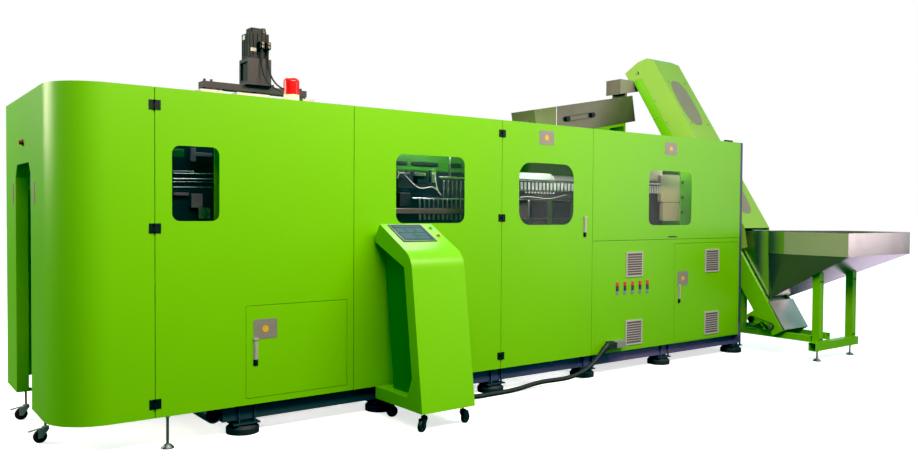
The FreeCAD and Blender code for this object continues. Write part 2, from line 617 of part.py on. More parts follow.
def cabinet_shell():
    """The electrical cabinet: a folded housing with a front frame, a fixed panel and a mounting plate."""
    t, half = SHEET, SEAM_GAP / 2
    x0, x1, z0, z1 = SEAM_4 + half, LENGTH, CLEARANCE_UNDER, CABINET_TOP - half
    shell = box(x0, x1, 0, PAN, z0, z1).cut(box(x0 + t, x1 - t, t, PAN + 1, z0 + t, z1 - t))
    dx0, dx1, dz0, dz1 = CABINET_DOOR
    gap = DOOR_GAP
    shell = shell.cut(box(dx0 - gap, dx1 + gap, -1, PAN + 1, dz0 - gap, dz1 + gap))
    px0, px1, pz0, pz1 = CABINET_PANEL
    shell = shell.cut(box(px0 - 1, px1 + 1, -1, t + 1, pz0 - 1, pz1 + 1))
    stop = box(px0 - 12, px1 + 12, t, 2 * t, pz0 - 7, pz1 + 12)
    stop = stop.cut(box(px0 + 12, px1 - 12, 0, PAN, pz0 + 12, pz1 - 12))
    shell = fuse([shell, stop])
    panel = box(px0, px1, 0, t, pz0, pz1)
    for z in VENT_ZS:
        panel = panel.cut(box(VENT_XS[0] + 12, VENT_XS[0] + VENT - 12, -1, t + 1, z + 12, z + VENT - 12))
    # the housing stands behind the frame tubes, over the base beam
    back = PAN + TUBE
    housing = box(x0 + 90, x1 - TUBE - 2, back, CABINET_DEPTH, BEAM_UNDER + BEAM_HEIGHT, z1)
    inner = box(x0 + 90 + t, x1 - TUBE - 2 - t, back - 1, CABINET_DEPTH - t, BEAM_UNDER + BEAM_HEIGHT + t, z1 - t)
    housing = housing.cut(inner)
    plate = box(x0 + 130, x1 - 90, CABINET_DEPTH - t - 22, CABINET_DEPTH - t - 18, 330, z1 - 60)
    pieces = [plate]
    for x in (x0 + 160, x1 - 130):
        pieces.append(box(x, x + 10, CABINET_DEPTH - t - 18, CABINET_DEPTH - t, 330, z1 - 60))
    for row, z in enumerate((420.0, 620.0, 840.0)):
        for k in range(7):
            x = CABINET_DOOR[0] + 60 + 105 * k
            high = 110 if row != 1 else 140
            pieces.append(box(x, x + 84, CABINET_DEPTH - t - 110, CABINET_DEPTH - t - 22, z, z + high))
    return [shell, panel, fuse([housing] + pieces)]


def cabinet_fittings():
    """Fixed fittings of the cabinet's left panel: two filter grilles, five switches and the cable connector."""
    solids = [vent(VENT_XS[0], z) for z in VENT_ZS]
    for k in range(SWITCH_COUNT):
        x = SWITCH_FIRST + k * SWITCH_PITCH
        bezel = box(x, x + SWITCH_WIDTH, -6, 0, SWITCH_Z, SWITCH_Z + SWITCH_HEIGHT)
        lamp = box(x + 4, x + SWITCH_WIDTH - 4, -12, -6, SWITCH_Z + 68, SWITCH_Z + SWITCH_HEIGHT - 5)
        rocker = prism_x([(-6, SWITCH_Z + 36), (-6, SWITCH_Z + 64), (-9, SWITCH_Z + 64), (-13, SWITCH_Z + 36)],
                         x + 4, x + SWITCH_WIDTH - 4)
        solids.append(fuse([bezel, lamp, rocker]))
    x, z = CONNECTOR[0], CONNECTOR[2]
    housing = box(x + 60, x + 250, -34, 0, z - 8, z + 52)
    hood = box(x + 30, x + 240, -66, -34, z - 2, z + 46)
    solids.append(fuse([housing, hood, cable_gland(CONSOLE_CABLE[0], CONSOLE_CABLE[1], 56)]))
    return solids


def cable_gland(end, inner, length):
    """A round gland that meets a cable's end square; it points away from the cable's next point."""
    end, inner = V(*end), V(*inner)
    away = end - inner
    away.normalize()
    return rod(end, end + away * length, CABLE / 2 + 5)


def cabinet_door():
    x0, x1, z0, z1 = CABINET_DOOR
    leaf = door_leaf(x0, x1, z0, z1)
    grilles = []
    for z in VENT_ZS:
        leaf = leaf.cut(box(VENT_XS[1] + 12, VENT_XS[1] + VENT - 12, -1, SHEET + 1, z + 12, z + VENT - 12))
        grilles.append(vent(VENT_XS[1], z))
    return [fuse([leaf, escutcheon(*CABINET_LEVER)])] + grilles


# ---------------------------------------------------------------- stretch drive on the roof
BEAM_Z0, BEAM_Z1 = HEIGHT + 155, HEIGHT + 200       # the cross-beam over the roof
BAR_THICK = 28.0            # flat bars that frame the stretch drive's opening
UPPER_PLATE_XS = ((975.0, 1121.0), (1219.0, 1449.0), (1700.0, 1788.0))
UPPER_PLATE_TOP, UPPER_PLATE_THICK = HEIGHT + 100, 20.0


def base_bars():
    """Four flat bars butted round the roof opening, and three small plates on blocks along the front one."""
    x0, x1, y0, y1 = STRETCH_OPENING
    lap, side, front = 40.0, 190.0, 90.0
    z0, z1 = HEIGHT, HEIGHT + BAR_THICK
    bars = [box(x0 - lap, x0 + side, y0 - lap, y1 + lap, z0, z1), box(x1 - side, x1 + lap, y0 - lap, y1 + lap, z0, z1)]
    for ya, yb in ((y0 - lap, y0 + front), (y1 - front, y1 + lap)):
        bars.append(box(x0 + side, x1 - side, ya, yb, z0, z1))
    for xa, xb in UPPER_PLATE_XS:
        low = UPPER_PLATE_TOP - UPPER_PLATE_THICK
        plate = box(xa, xb, y0 - lap, y0 + front, low, UPPER_PLATE_TOP)
        block = box(xa + 25, xb - 25, y0 - lap + 25, y0 + front - 25, z1, low)
        bars.append(fuse([plate, block]))
    return bars


def stretch_crossbeam():
    """Cross-beam on two posts over the bars, with the dark housing of the coupling and the columns below."""
    x0, x1 = STRETCH_X - 394, STRETCH_X + 380
    bar_top = HEIGHT + BAR_THICK
    solids = base_bars()
    beam = box(x0, x1, MID_Y - 50, MID_Y + 50, BEAM_Z0, BEAM_Z1)
    for x in (x0 + 20, x1 - 75):
        solids.append(box(x, x + 70, MID_Y - 45, MID_Y + 45, bar_top, BEAM_Z0))
    bolts = []
    for x in (x0 + 14, x0 + 62, x1 - 40):
        bolts.append(Part.makeCylinder(9, 16, V(x, MID_Y - 30, BEAM_Z1)))
    half, flange_top = 85.0, BEAM_Z1 + 12
    flange = box(STRETCH_X - half - 15, STRETCH_X + half + 15, MID_Y - half - 15, MID_Y + half + 15,
                 BEAM_Z1, flange_top)
    housing = box(STRETCH_X - half, STRETCH_X + half, MID_Y - half, MID_Y + half, flange_top, MOTOR_BASE)
    side = box(STRETCH_X - half - 1, STRETCH_X - half + 14, MID_Y - half + 24, MID_Y + half - 24,
               BEAM_Z1 + 40, MOTOR_BASE - 26)
    screw = rod(V(STRETCH_X, MID_Y, SCREW_LOW), V(STRETCH_X, MID_Y, BEAM_Z0), SCREW_RADIUS)
    solids += [fuse([beam] + bolts), fuse([flange, housing.cut(side)]), screw]
    for x, y in column_places():
        solids.append(rod(V(x, y, CLAMP_TOP + CLAMP_PLATE_THICK), V(x, y, HEIGHT), COLUMN_RADIUS))
    return solids


MOTOR_BASE = HEIGHT + 390
MOTOR_SIDE = 150.0
SCREW_LOW, SCREW_RADIUS = 1480.0, 16.0
CLAMP_TOP = 1400.0
CLAMP_PLATE_THICK = 25.0
CARRIAGE_Z = 1560.0


def column_places():
    return [(STRETCH_X + dx, MID_Y + dy) for dx in (-330, 330) for dy in (-250, 250)]


def cavity_xs():
    first = STRETCH_X - CAVITY_PITCH * (CAVITY_COUNT - 1) / 2
    return [first + k * CAVITY_PITCH for k in range(CAVITY_COUNT)]


def servo_motor():
    """A ribbed servo motor with a rear cap and two angled connectors on its front."""
    half = MOTOR_SIDE / 2
    z0, z1 = MOTOR_BASE, MOTOR_BASE + 180
    body = round_edges(box(STRETCH_X - half, STRETCH_X + half, MID_Y - half, MID_Y + half, z0, z1), 12, V(0, 0, 1))
    for k in range(4):
        d = -half + 27 + k * 32
        for x0, y0 in ((STRETCH_X + d, MID_Y - half - 1), (STRETCH_X + d, MID_Y + half - 7)):
            body = body.cut(box(x0 - 4, x0 + 4, y0, y0 + 8, z0 + 22, z1 - 6))
        for x0 in (STRETCH_X - half - 1, STRETCH_X + half - 7):
            body = body.cut(box(x0, x0 + 8, MID_Y + d - 4, MID_Y + d + 4, z0 + 22, z1 - 6))
    cap = round_edges(box(STRETCH_X - 52, STRETCH_X + 52, MID_Y - 52, MID_Y + 52, z1, z1 + 40), 14, V(0, 0, 1))
    parts = [body, cap]
    for x in MOTOR_OUTLETS:
        parts.append(box(x - 17, x + 17, MID_Y - half - 38, MID_Y - half + 8, z0 + 68, z0 + 118))
        parts.append(rod(V(x, MID_Y - half - 22, z0 + 60), V(x, MID_Y - half - 22, z0 + 68), 11))
    return [fuse(parts)]


MOTOR_OUTLETS = (STRETCH_X + 6, STRETCH_X + 54)


OUTLET_Y = MID_Y - MOTOR_SIDE / 2 - 22
GLAND_HEIGHT = 14.0
# how far a servo cable has gone from its connector, and its height above the roof there
SERVO_DROP = [(0, 450), (0, 390), (7, 331), (24, 274), (58, 222), (108, 183), (168, 158), (230, 136), (282, 100),
              (306, 56), (306, GLAND_HEIGHT)]


def servo_route(x, turn):
    """A servo cable's points: down from its connector, over the plate and straight down into a roof gland."""
    across, forward = math.sin(math.radians(turn)), math.cos(math.radians(turn))
    return [(x + d * across, OUTLET_Y - d * forward, HEIGHT + rise) for d, rise in SERVO_DROP]


SERVO_CABLE = 12.0
SIGNAL_ROUTE = servo_route(MOTOR_OUTLETS[0], 14.0)
POWER_ROUTE = servo_route(MOTOR_OUTLETS[1], 27.0)


def cable_glands():
    """Roof glands that the two servo cables go into."""
    glands = []
    for route in (SIGNAL_ROUTE, POWER_ROUTE):
        x, y, z = route[-1]
        glands.append(Part.makeCylinder(14, z - HEIGHT, V(x, y, HEIGHT)))
    return glands


def beacon():
    """A rotating beacon: a plain base with a red dome over it."""
    x, y, z = 1417.0, 150.0, HEIGHT
    base = Part.makeCylinder(50, 53, V(x, y, z))
    dome = Part.makeCylinder(50, 106, V(x, y, z + 53))
    dome = dome.makeFillet(26, [e for e in dome.Edges if isinstance(e.Curve, Part.Circle)
                                and e.BoundBox.ZMin > z + 100])
    skirt = Part.makeCylinder(53, 10, V(x, y, z + 53))
    return [base, fuse([dome, skirt])]


# ---------------------------------------------------------------- blow station inside
def stretch_carriage():
    """The plate that the ball screw lifts, with the stretch rods under it."""
    z = CARRIAGE_Z
    plate = box(STRETCH_X - 390, STRETCH_X + 390, MID_Y - 300, MID_Y + 300, z, z + 40)
    plate = plate.cut(rod(V(STRETCH_X, MID_Y, z - 1), V(STRETCH_X, MID_Y, z + 41), SCREW_RADIUS + FREE))
    for x, y in column_places():
        plate = plate.cut(rod(V(x, y, z - 1), V(x, y, z + 41), COLUMN_RADIUS + RUNNING))
    rods = [rod(V(x, MID_Y, z - STRETCH_ROD), V(x, MID_Y, z + 1), 7) for x in cavity_xs()]
    return [fuse([plate] + rods)]


def blow_clamp_frame():
    """Fixed frame of the clamp: legs on the base, table, two end plates, four tie bars and the top plate."""
    x0, x1 = STRETCH_X - 420, STRETCH_X + 420
    y0, y1 = MID_Y - ROOF_RAIL, MID_Y + ROOF_RAIL
    table_z, beam_top = 560.0, BEAM_UNDER + BEAM_HEIGHT
    solids = [box(x0 - 40, x1 + 40, y0 - 30, y1 + 30, table_z - 50, table_z)]
    for x in (mount_xs()[0], mount_xs()[1]):
        xc = min(max(x, x0 + 20), x1 - 20)
        for y in (BEAM_SET_BACK, DEPTH - BEAM_SET_BACK - BEAM_WIDTH):
            inward = y + BEAM_WIDTH + 150 if y < MID_Y else y - 150
            low, high = min(y, inward), max(y + BEAM_WIDTH, inward)
            solids.append(box(xc - 60, xc + 60, low, high, beam_top, table_z - 50))
    holes = [(x, z) for x in (x0 + 45, x1 - 45) for z in (table_z + 60, CLAMP_TOP - 60)]
    for ya, yb, out in ((y0, y0 + 40, -1), (y1 - 40, y1, 1)):
        plate = box(x0, x1, ya, yb, table_z, CLAMP_TOP)
        zc = (table_z + CLAMP_TOP) / 2
        plate = plate.cut(rod(V(STRETCH_X, ya - 1, zc), V(STRETCH_X, yb + 1, zc), 30 + FREE))
        face = ya if out < 0 else yb
        cylinder = rod(V(STRETCH_X, face, zc), V(STRETCH_X, face + out * 140, zc), 60)
        bore = rod(V(STRETCH_X, face, zc), V(STRETCH_X, face + out * 130, zc), 48)
        solids += [plate, cylinder.cut(bore)]
    for x, z in holes:
        solids.append(rod(V(x, y0 + 40, z), V(x, y1 - 40, z), TIE_BAR))
    top = box(x0, x1, y0, y1, CLAMP_TOP, CLAMP_TOP + CLAMP_PLATE_THICK)
    for x in cavity_xs():
        top = top.cut(rod(V(x, MID_Y, CLAMP_TOP - 1), V(x, MID_Y, CLAMP_TOP + CLAMP_PLATE_THICK + 1), 10))
    solids.append(top)
    return solids


def front_platen():
    """A platen that slides on the tie bars, with its mould half and the piston rod behind it."""
    x0, x1 = STRETCH_X - 420, STRETCH_X + 420
    table_z = 560.0
    face = MID_Y - MOULD_OPEN / 2
    back = face - MOULD_DEPTH
    plate = box(x0, x1, back - PLATEN_THICK, back, table_z + 1, CLAMP_TOP - 1)
    for x in (x0 + 45, x1 - 45):
        for z in (table_z + 60, CLAMP_TOP - 60):
            plate = plate.cut(rod(V(x, back - PLATEN_THICK - 1, z), V(x, back + 1, z), TIE_BAR + RUNNING))
    top = CLAMP_TOP - 12
    low = top - MOULD_HEIGHT
    mould = box(x0 + 90, x1 - 90, back, face, low, top)
    for x in cavity_xs():
        mould = mould.cut(rod(V(x, face, low + 60), V(x, face, top - 100), 32))
        mould = mould.cut(rod(V(x, face, top - 101), V(x, face, top + 1), 14))
    zc = (table_z + CLAMP_TOP) / 2
    piston = rod(V(STRETCH_X, MID_Y - 660, zc), V(STRETCH_X, back - PLATEN_THICK, zc), 30)
    return [fuse([plate, mould, piston])]


def rear_platen():
    return [mirror_y(front_platen()[0])]


# ---------------------------------------------------------------- oven and transfer inside
OVEN_X0, OVEN_X1 = 3500.0, 5150.0
OVEN_LOOP = 340.0
OVEN_TABLE = 1000.0
OVEN_HALF = 460.0           # middle line to the table's edge and the heaters' backs
HEATER_DEPTH = 60.0
SPINDLE_PITCH = 55.0
SPINDLE_Z = 1420.0


def oven_body():
    """Oven table on the base beams, the white centre housing and the outer rows of heater modules."""
    beam_top, post = BEAM_UNDER + BEAM_HEIGHT, 80.0
    y0, y1 = MID_Y - OVEN_HALF, MID_Y + OVEN_HALF
    table, under, rim = OVEN_TABLE, OVEN_TABLE - 60, 8.0
    x0, x1 = OVEN_X0 - 300, OVEN_X1 + 300
    tray = box(x0, x1, y0, y1, under, table).cut(box(x0 + rim, x1 - rim, y0 + rim, y1 - rim, under - 1, table - 10))
    solids = [tray]
    # posts on a cross tube over the beams at the left, and on a cross member of the base at the right
    left, right = OVEN_X0 - 200, mount_xs()[4] - post / 2
    solids.append(square_tube(left, left + post, BEAM_SET_BACK, DEPTH - BEAM_SET_BACK, beam_top, beam_top + 60, 4, "y"))
    for x, low in ((left, beam_top + 60), (right, beam_top - CROSS_DROP)):
        for y in (y0 + 60, y1 - 60 - post):
            solids.append(square_tube(x, x + post, y, y + post, low, table - 10, 4, "z"))
    centre = box(OVEN_X0, OVEN_X1, MID_Y - 250, MID_Y + 250, table, 1700)
    centre = centre.makeFillet(90, [e for e in centre.Edges if e.BoundBox.ZMin > 1699 and e.BoundBox.XLength > 99])
    hollow = box(OVEN_X0 + 4, OVEN_X1 - 4, MID_Y - 246, MID_Y + 246, table - 1, 1606)
    solids.append(centre.cut(hollow))
    return solids


def heater_modules():
    """Dark heater modules that stand in a row on each side of the chain, with ribbed fronts."""
    count = 8
    width = (OVEN_X1 - OVEN_X0) / count
    solids = []
    for back, front in ((MID_Y - OVEN_HALF, MID_Y - OVEN_HALF + HEATER_DEPTH),
                        (MID_Y + OVEN_HALF, MID_Y + OVEN_HALF - HEATER_DEPTH)):
        row = box(OVEN_X0, OVEN_X1, min(back, front), max(back, front), OVEN_TABLE, 1400)
        grooves = []
        for k in range(1, count):
            x = OVEN_X0 + k * width
            grooves.append(box(x - 4, x + 4, back - 8, back + 8, OVEN_TABLE + 10, 1401))
        solids.append(row.cut(grooves[0].fuse(grooves[1:])))
    return solids


def racetrack(half, z0, z1):
    middle = box(OVEN_X0, OVEN_X1, MID_Y - half, MID_Y + half, z0, z1)
    ends = [Part.makeCylinder(half, z1 - z0, V(x, MID_Y, z0)) for x in (OVEN_X0, OVEN_X1)]
    return fuse([middle] + ends)


def spindle_chain():
    """The chain's oval guide on posts, its end wheels, and preform spindles along the front run."""
    rail = racetrack(OVEN_LOOP + 32, SPINDLE_Z, SPINDLE_Z + 30).cut(
        racetrack(OVEN_LOOP - 32, SPINDLE_Z - 1, SPINDLE_Z + 31))
    parts, posts = [rail], []
    for x in (OVEN_X0 - 120, OVEN_X1 + 120):
        for y in (MID_Y - 312, MID_Y + 312):
            posts.append(box(x - 18, x + 18, y - 18, y + 18, OVEN_TABLE, SPINDLE_Z))
    count = int((OVEN_X1 - OVEN_X0) / SPINDLE_PITCH)
    for k in range(count):
        x = OVEN_X0 + (k + 0.5) * (OVEN_X1 - OVEN_X0) / count
        parts.append(Part.makeCylinder(12, 130, V(x, MID_Y - OVEN_LOOP, SPINDLE_Z + 20)))
    return [fuse(parts)] + posts


TRANSFER_Z = 1500.0
RAIL_FRONT, RAIL_BACK = MID_Y - 300, MID_Y - 180


def transfer_rail():
    """An overhead rail between the oven and the clamp, on two posts that stand on the base's cross members."""
    low, post, half = BEAM_UNDER + BEAM_HEIGHT - CROSS_DROP, 60.0, 30.0
    xa, xb = mount_xs()[1], mount_xs()[2]
    solids = [box(xa - half, xb + half, RAIL_FRONT, RAIL_BACK, TRANSFER_Z, TRANSFER_Z + post)]
    for x in (xa, xb):
        solids.append(box(x - half, x + half, RAIL_BACK, RAIL_BACK + post, low, TRANSFER_Z + post))
    return solids


def transfer_carriage():
    """The gripper carriage that hangs on the rail, with a row of gripper stems."""
    x0, x1 = TRANSFER_MID - 180, TRANSFER_MID + 380
    body = box(x0, x1, RAIL_FRONT - 10, RAIL_BACK - 6, TRANSFER_Z - 150, TRANSFER_Z - FREE)
    hook = box(x0, x1, RAIL_FRONT - 22, RAIL_FRONT - FREE, TRANSFER_Z - 150, TRANSFER_Z + 60)
    parts = [body, hook]
    stem_y = (RAIL_FRONT + RAIL_BACK) / 2
    for k in range(8):
        x = x0 + 35 + k * 70
        parts.append(rod(V(x, stem_y, TRANSFER_Z - 330), V(x, stem_y, TRANSFER_Z - 149), 9))
    return [fuse(parts)]


# ---------------------------------------------------------------- elevator
def elevator_frame():
    """Two side plates with folded top flanges, a bottom pan and cross tubes; the left plate holds the drive."""
    x0, x1 = ELEVATOR_X, ELEVATOR_X + ELEVATOR_WIDTH
    t = ELEVATOR_PLATE
    foot, head = FOOT_S - 90, HEAD_S - 40
    right = [(foot, FRAME_TOP_N), (head, FRAME_TOP_N), (head, FRAME_LOW_N), (foot + 10, FRAME_LOW_N + 50)]
    left = [(foot, FRAME_TOP_N), (head, FRAME_TOP_N), (head, FRAME_LOW_N), (FOOT_S + 218, FRAME_LOW_N),
            (FOOT_S + 218, -422), (FOOT_S + 194, -452), (FOOT_S + 108, -452), (FOOT_S + 90, -412), (FOOT_S + 82, -318),
            (FOOT_S + 4, -282), (FOOT_S - 81, -292)]
    shafts = [slope_rod(s, BELT_AXIS_N, x0 - 60, x1 + 60, SHAFT_RADIUS + RUNNING) for s in (FOOT_S, HEAD_S)]
    shafts.append(slope_rod(MOTOR_SN[0], MOTOR_SN[1], x0 - 60, x0 + 60, MOTOR_SHAFT + RUNNING))
    flange = [(foot, FRAME_TOP_N - t), (head - 40, FRAME_TOP_N - t), (head - 40, FRAME_TOP_N), (foot, FRAME_TOP_N)]
    head_plate = [(head - 60, COVER_LOW_N), (HEAD_S + 40, COVER_LOW_N), (HEAD_S + 40, -285), (head - 60, -285)]
    # the bottom pan starts where it clears the stand's stringers
    low = FOOT_BEAM[3] + STRINGER + 4
    pan_s = (low - slope(0, FRAME_LOW_N)[1]) / math.sin(math.radians(ELEVATOR_ANGLE))
    bottom = [(pan_s, FRAME_LOW_N), (head - 160, FRAME_LOW_N), (head - 160, FRAME_LOW_N + t),
              (pan_s, FRAME_LOW_N + t)]
    parts = []
    for outline, xa in ((left, x0), (right, x1 - t)):
        side = fuse([slope_prism(outline, xa, xa + t), slope_prism(head_plate, xa, xa + t)])
        for shaft in shafts:
            side = side.cut(shaft)
        parts.append(side)
    parts.append(slope_prism(flange, x0, x0 + TOP_FLANGE))
    parts.append(slope_prism(flange, x1 - TOP_FLANGE, x1))
    parts.append(slope_prism(bottom, x0 + t, x1 - t))
    for s in (FOOT_S + 540, HEAD_S - 1390, HEAD_S - 290):
        cross = [(s, -268), (s + 30, -268), (s + 30, -222), (s, -222)]
        parts.append(slope_prism(cross, x0 + t, x1 - t))
    return [fuse(parts)]


def elevator_cover():
    """The inverted-U cover with its closed, chamfered head and two long windows."""
    x0, x1 = ELEVATOR_X - SHEET, ELEVATOR_X + ELEVATOR_WIDTH + SHEET
    t = SHEET
    cheek_low = [(FOOT_S + 817, COVER_LOW_N), (FOOT_S + 778, -75), (FOOT_S + 955, 0)]
    outline = HEAD_OUTLINE + [(1014, COVER_LOW_N)] + cheek_low
    outer = slope_prism(outline, x0, x1)
    # open below: only the top, the head's end and the two sides are sheet
    inner = [(1048 - t / 2, -t), (1144 - 1.6 * t, -60 - t), (1190 - t, -180 - t / 2), (1204 - 1.2 * t, -390),
             (1000, -390), (1000, COVER_LOW_N - 5), (FOOT_S + 740, COVER_LOW_N - 5), (FOOT_S + 740, -t)]
    cover = outer.cut(slope_prism(inner, x0 + t, x1 - t))
    cover = cover.cut(slope_rod(HEAD_S, BELT_AXIS_N, x0 - 1, x1 + 1, SHAFT_RADIUS + 4))
    # the right side ends above the hopper, whose back wall meets the elevator there
    cover = cover.cut(box(x1 - t - 1, x1 + 1, HOPPER_FRONT + 905, HOPPER_FRONT + 1405,
                          HOPPER_RIM_LOW - 100, HOPPER_RIM_TOP + 1))
    wc, half = (x0 + x1) / 2 - 30, 62.0
    windows = ((HEAD_S - 878, HEAD_S - 317), (FOOT_S + 1140, FOOT_S + 1700))
    for s0, s1 in windows:
        y0, z0 = slope(s0 + half, -30)
        a0, b0 = slope(s1 - half, -30)
        normal = V(0, *[q - p for p, q in zip(slope(0, 0), slope(0, 1))])
        slot = fuse([
            Part.makeCylinder(half, 60, V(wc, y0, z0), normal),
            Part.makeCylinder(half, 60, V(wc, a0, b0), normal),
            slope_prism([(s0 + half, -30), (s1 - half, -30), (s1 - half, 30), (s0 + half, 30)], wc - half, wc + half),
        ])
        cover = cover.cut(slot)
    panes = []
    for s0, s1 in windows:
        pane = [(s0 - 20, -t), (s1 + 20, -t), (s1 + 20, -t - 3), (s0 - 20, -t - 3)]
        panes.append(slope_prism(pane, wc - half - 20, wc + half + 20))
    return [cover] + panes


HEAD_OUTLINE = [(1048, 0), (1144, -60), (1190, -180), (1204, -388), (1089, -388), (1014, -270)]


def belt_loop(radius, x0, x1):
    low, high = BELT_AXIS_N - radius, BELT_AXIS_N + radius
    middle = slope_prism([(FOOT_S, low), (HEAD_S, low), (HEAD_S, high), (FOOT_S, high)], x0, x1)
    ends = [slope_rod(s, BELT_AXIS_N, x0, x1, radius) for s in (FOOT_S, HEAD_S)]
    return fuse([middle] + ends)


def elevator_belt():
    """A cleated belt over the head and foot drums."""
    x0, x1 = ELEVATOR_X + 14, ELEVATOR_X + ELEVATOR_WIDTH - 14
    inner = BELT_DRUM + FREE
    belt = belt_loop(inner + BELT_THICK, x0, x1).cut(belt_loop(inner, x0 - 1, x1 + 1))
    cleats = []
    count = int((HEAD_S - FOOT_S) / CLEAT_PITCH)
    for k in range(count + 1):
        s = FOOT_S + (k + 0.25) * CLEAT_PITCH
        if s > HEAD_S:
            continue
        n = BELT_AXIS_N + inner + BELT_THICK
        outline = [(s, n - 1), (s + 6, n - 1), (s + 6, n + CLEAT_HEIGHT), (s, n + CLEAT_HEIGHT)]
        side = TOP_FLANGE + 4
        cleats.append(slope_prism(outline, ELEVATOR_X + side, ELEVATOR_X + ELEVATOR_WIDTH - side))
    return [fuse([belt] + cleats)]


def elevator_roller(s, pulley):
    x0, x1 = ELEVATOR_X + 10, ELEVATOR_X + ELEVATOR_WIDTH - 10
    drum = slope_rod(s, BELT_AXIS_N, x0, x1, BELT_DRUM)
    reach = 38 if pulley else 14
    shaft = slope_rod(s, BELT_AXIS_N, ELEVATOR_X - reach, ELEVATOR_X + ELEVATOR_WIDTH + 14, SHAFT_RADIUS)
    parts = [drum, shaft]
    if pulley:
        parts.append(slope_rod(s, BELT_AXIS_N, ELEVATOR_X - 34, ELEVATOR_X - 14, DRIVE_PULLEY))
    return [fuse(parts)]


MOTOR_SN = (FOOT_S + 152, -396.0)
MOTOR_SHAFT = 10.0


def elevator_drive():
    """Gearmotor behind the bracket plate, its pulley and the drive belt to the foot shaft."""
    s, n = MOTOR_SN
    x = ELEVATOR_X
    inside = x + ELEVATOR_PLATE
    gearbox = slope_prism([(s - 42, n - 42), (s + 42, n - 42), (s + 42, n + 34), (s - 42, n + 34)], inside, x + 110)
    motor = slope_rod(s, n - 4, x + 110, x + 270, 38)
    shaft = slope_rod(s, n, x - 38, inside, MOTOR_SHAFT)
    pulley = slope_rod(s, n, x - 34, x - 14, DRIVE_PULLEY)
    flat, inner = 3.0, DRIVE_PULLEY + FREE
    along = math.atan2(BELT_AXIS_N - n, FOOT_S - s)
    side = (-math.sin(along), math.cos(along))

    def band(radius, xa, xb):
        ends = [slope_rod(s, n, xa, xb, radius), slope_rod(FOOT_S, BELT_AXIS_N, xa, xb, radius)]
        corners = [(s + side[0] * radius, n + side[1] * radius),
                   (FOOT_S + side[0] * radius, BELT_AXIS_N + side[1] * radius),
                   (FOOT_S - side[0] * radius, BELT_AXIS_N - side[1] * radius),
                   (s - side[0] * radius, n - side[1] * radius)]
        return fuse([slope_prism(corners, xa, xb)] + ends)

    belt = band(inner + flat, x - 31, x - 17).cut(band(inner, x - 32, x - 16))
    return [fuse([gearbox, motor, shaft, pulley]), belt]


# ---------------------------------------------------------------- hopper
def plane_y(z):
    """y of the elevator frame's top plane at a height."""
    s0 = slope(0, FRAME_TOP_N)
    return s0[0] + (z - s0[1]) / math.tan(math.radians(ELEVATOR_ANGLE))


def hopper_block(t):
    """The hopper's outside (t = 0) or inside (t = sheet) as a closed block: a rim band over a slanted funnel."""
    left, right, front = HOPPER_LEFT + t, HOPPER_RIGHT - t, HOPPER_FRONT + t
    low, top = HOPPER_RIM_LOW - 0.2 * t, HOPPER_RIM_TOP + (1 if t else 0)
    inner_left = HOPPER_LEFT + HOPPER_JOG + t
    throat_right = ELEVATOR_X + ELEVATOR_WIDTH - 40 - t
    through = 2 * t                     # the inside runs out through the elevator's plane
    throat = THROAT_Z + 1.2 * t
    back_low, back_top, throat_y = plane_y(low) + through, plane_y(top) + through, plane_y(throat) + through
    # the back wall runs slantwise from the right side to the elevator
    corner = ELEVATOR_X + ELEVATOR_WIDTH - 40
    fall = (plane_y(HOPPER_RIM_LOW) - HOPPER_BACK) / (HOPPER_RIGHT - corner)
    inward = t * math.hypot(1, fall)

    def wall_y(x):
        return HOPPER_BACK + (HOPPER_RIGHT - x) * fall - inward

    rim = [(left, front), (right, front), (right, wall_y(right)), (throat_right, wall_y(throat_right)),
           (throat_right, back_low + 0.01), (inner_left, back_low + 0.01),
           (inner_left, HOPPER_JOG_YS[1] - 0.13 * t), (left, HOPPER_JOG_YS[0] - 0.13 * t)]
    band = prism_z(rim, low, top)
    back = prism_x([(back_low - 1, low), (back_low, low), (back_top, top), (back_low - 1, top)],
                   inner_left, throat_right)
    a, b, c, d, h, g, f, e = [V(x, y, low) for x, y in rim]
    tl, tr = V(inner_left, throat_y, throat), V(throat_right, throat_y, throat)
    faces = []
    for loop in ((a, b, tr, tl), (b, c, tr), (c, d, tr), (d, h, tr), (a, tl, e), (e, tl, f), (f, tl, g),
                 (g, tl, tr, h), (a, e, f, g, h, d, c, b)):
        faces.append(Part.Face(Part.makePolygon(list(loop) + [loop[0]])))
    funnel = Part.Solid(Part.Shell(faces))
    if funnel.Volume < 0:
        funnel.reverse()
    return fuse([band, back, funnel])


def hopper_bin():
    """The stainless hopper, open at the top and towards the elevator, and the cover over the elevator's foot."""
    bin_ = hopper_block(0).cut(hopper_block(HOPPER_SHEET))
    x0, x1 = ELEVATOR_X + 34, ELEVATOR_X + ELEVATOR_WIDTH - 34
    top_n, t = -146.0, 2.0
    low, high = FOOT_S - 88, FOOT_S + 218
    lid = slope_prism([(low, FRAME_TOP_N), (high, FRAME_TOP_N), (high, top_n), (low, top_n)], x0 - 30, x1 + 30)
    lid = lid.cut(slope_prism([(low + t, FRAME_TOP_N - 1), (high + 7, FRAME_TOP_N - 1), (high + 7, top_n - t),
                               (low + t, top_n - t)], x0 - 30 + t, x1 + 30 - t))
    return [bin_, lid]


REAR_LEG_Y = HOPPER_FRONT + 1935
PROP_Y = HOPPER_FRONT + 1075


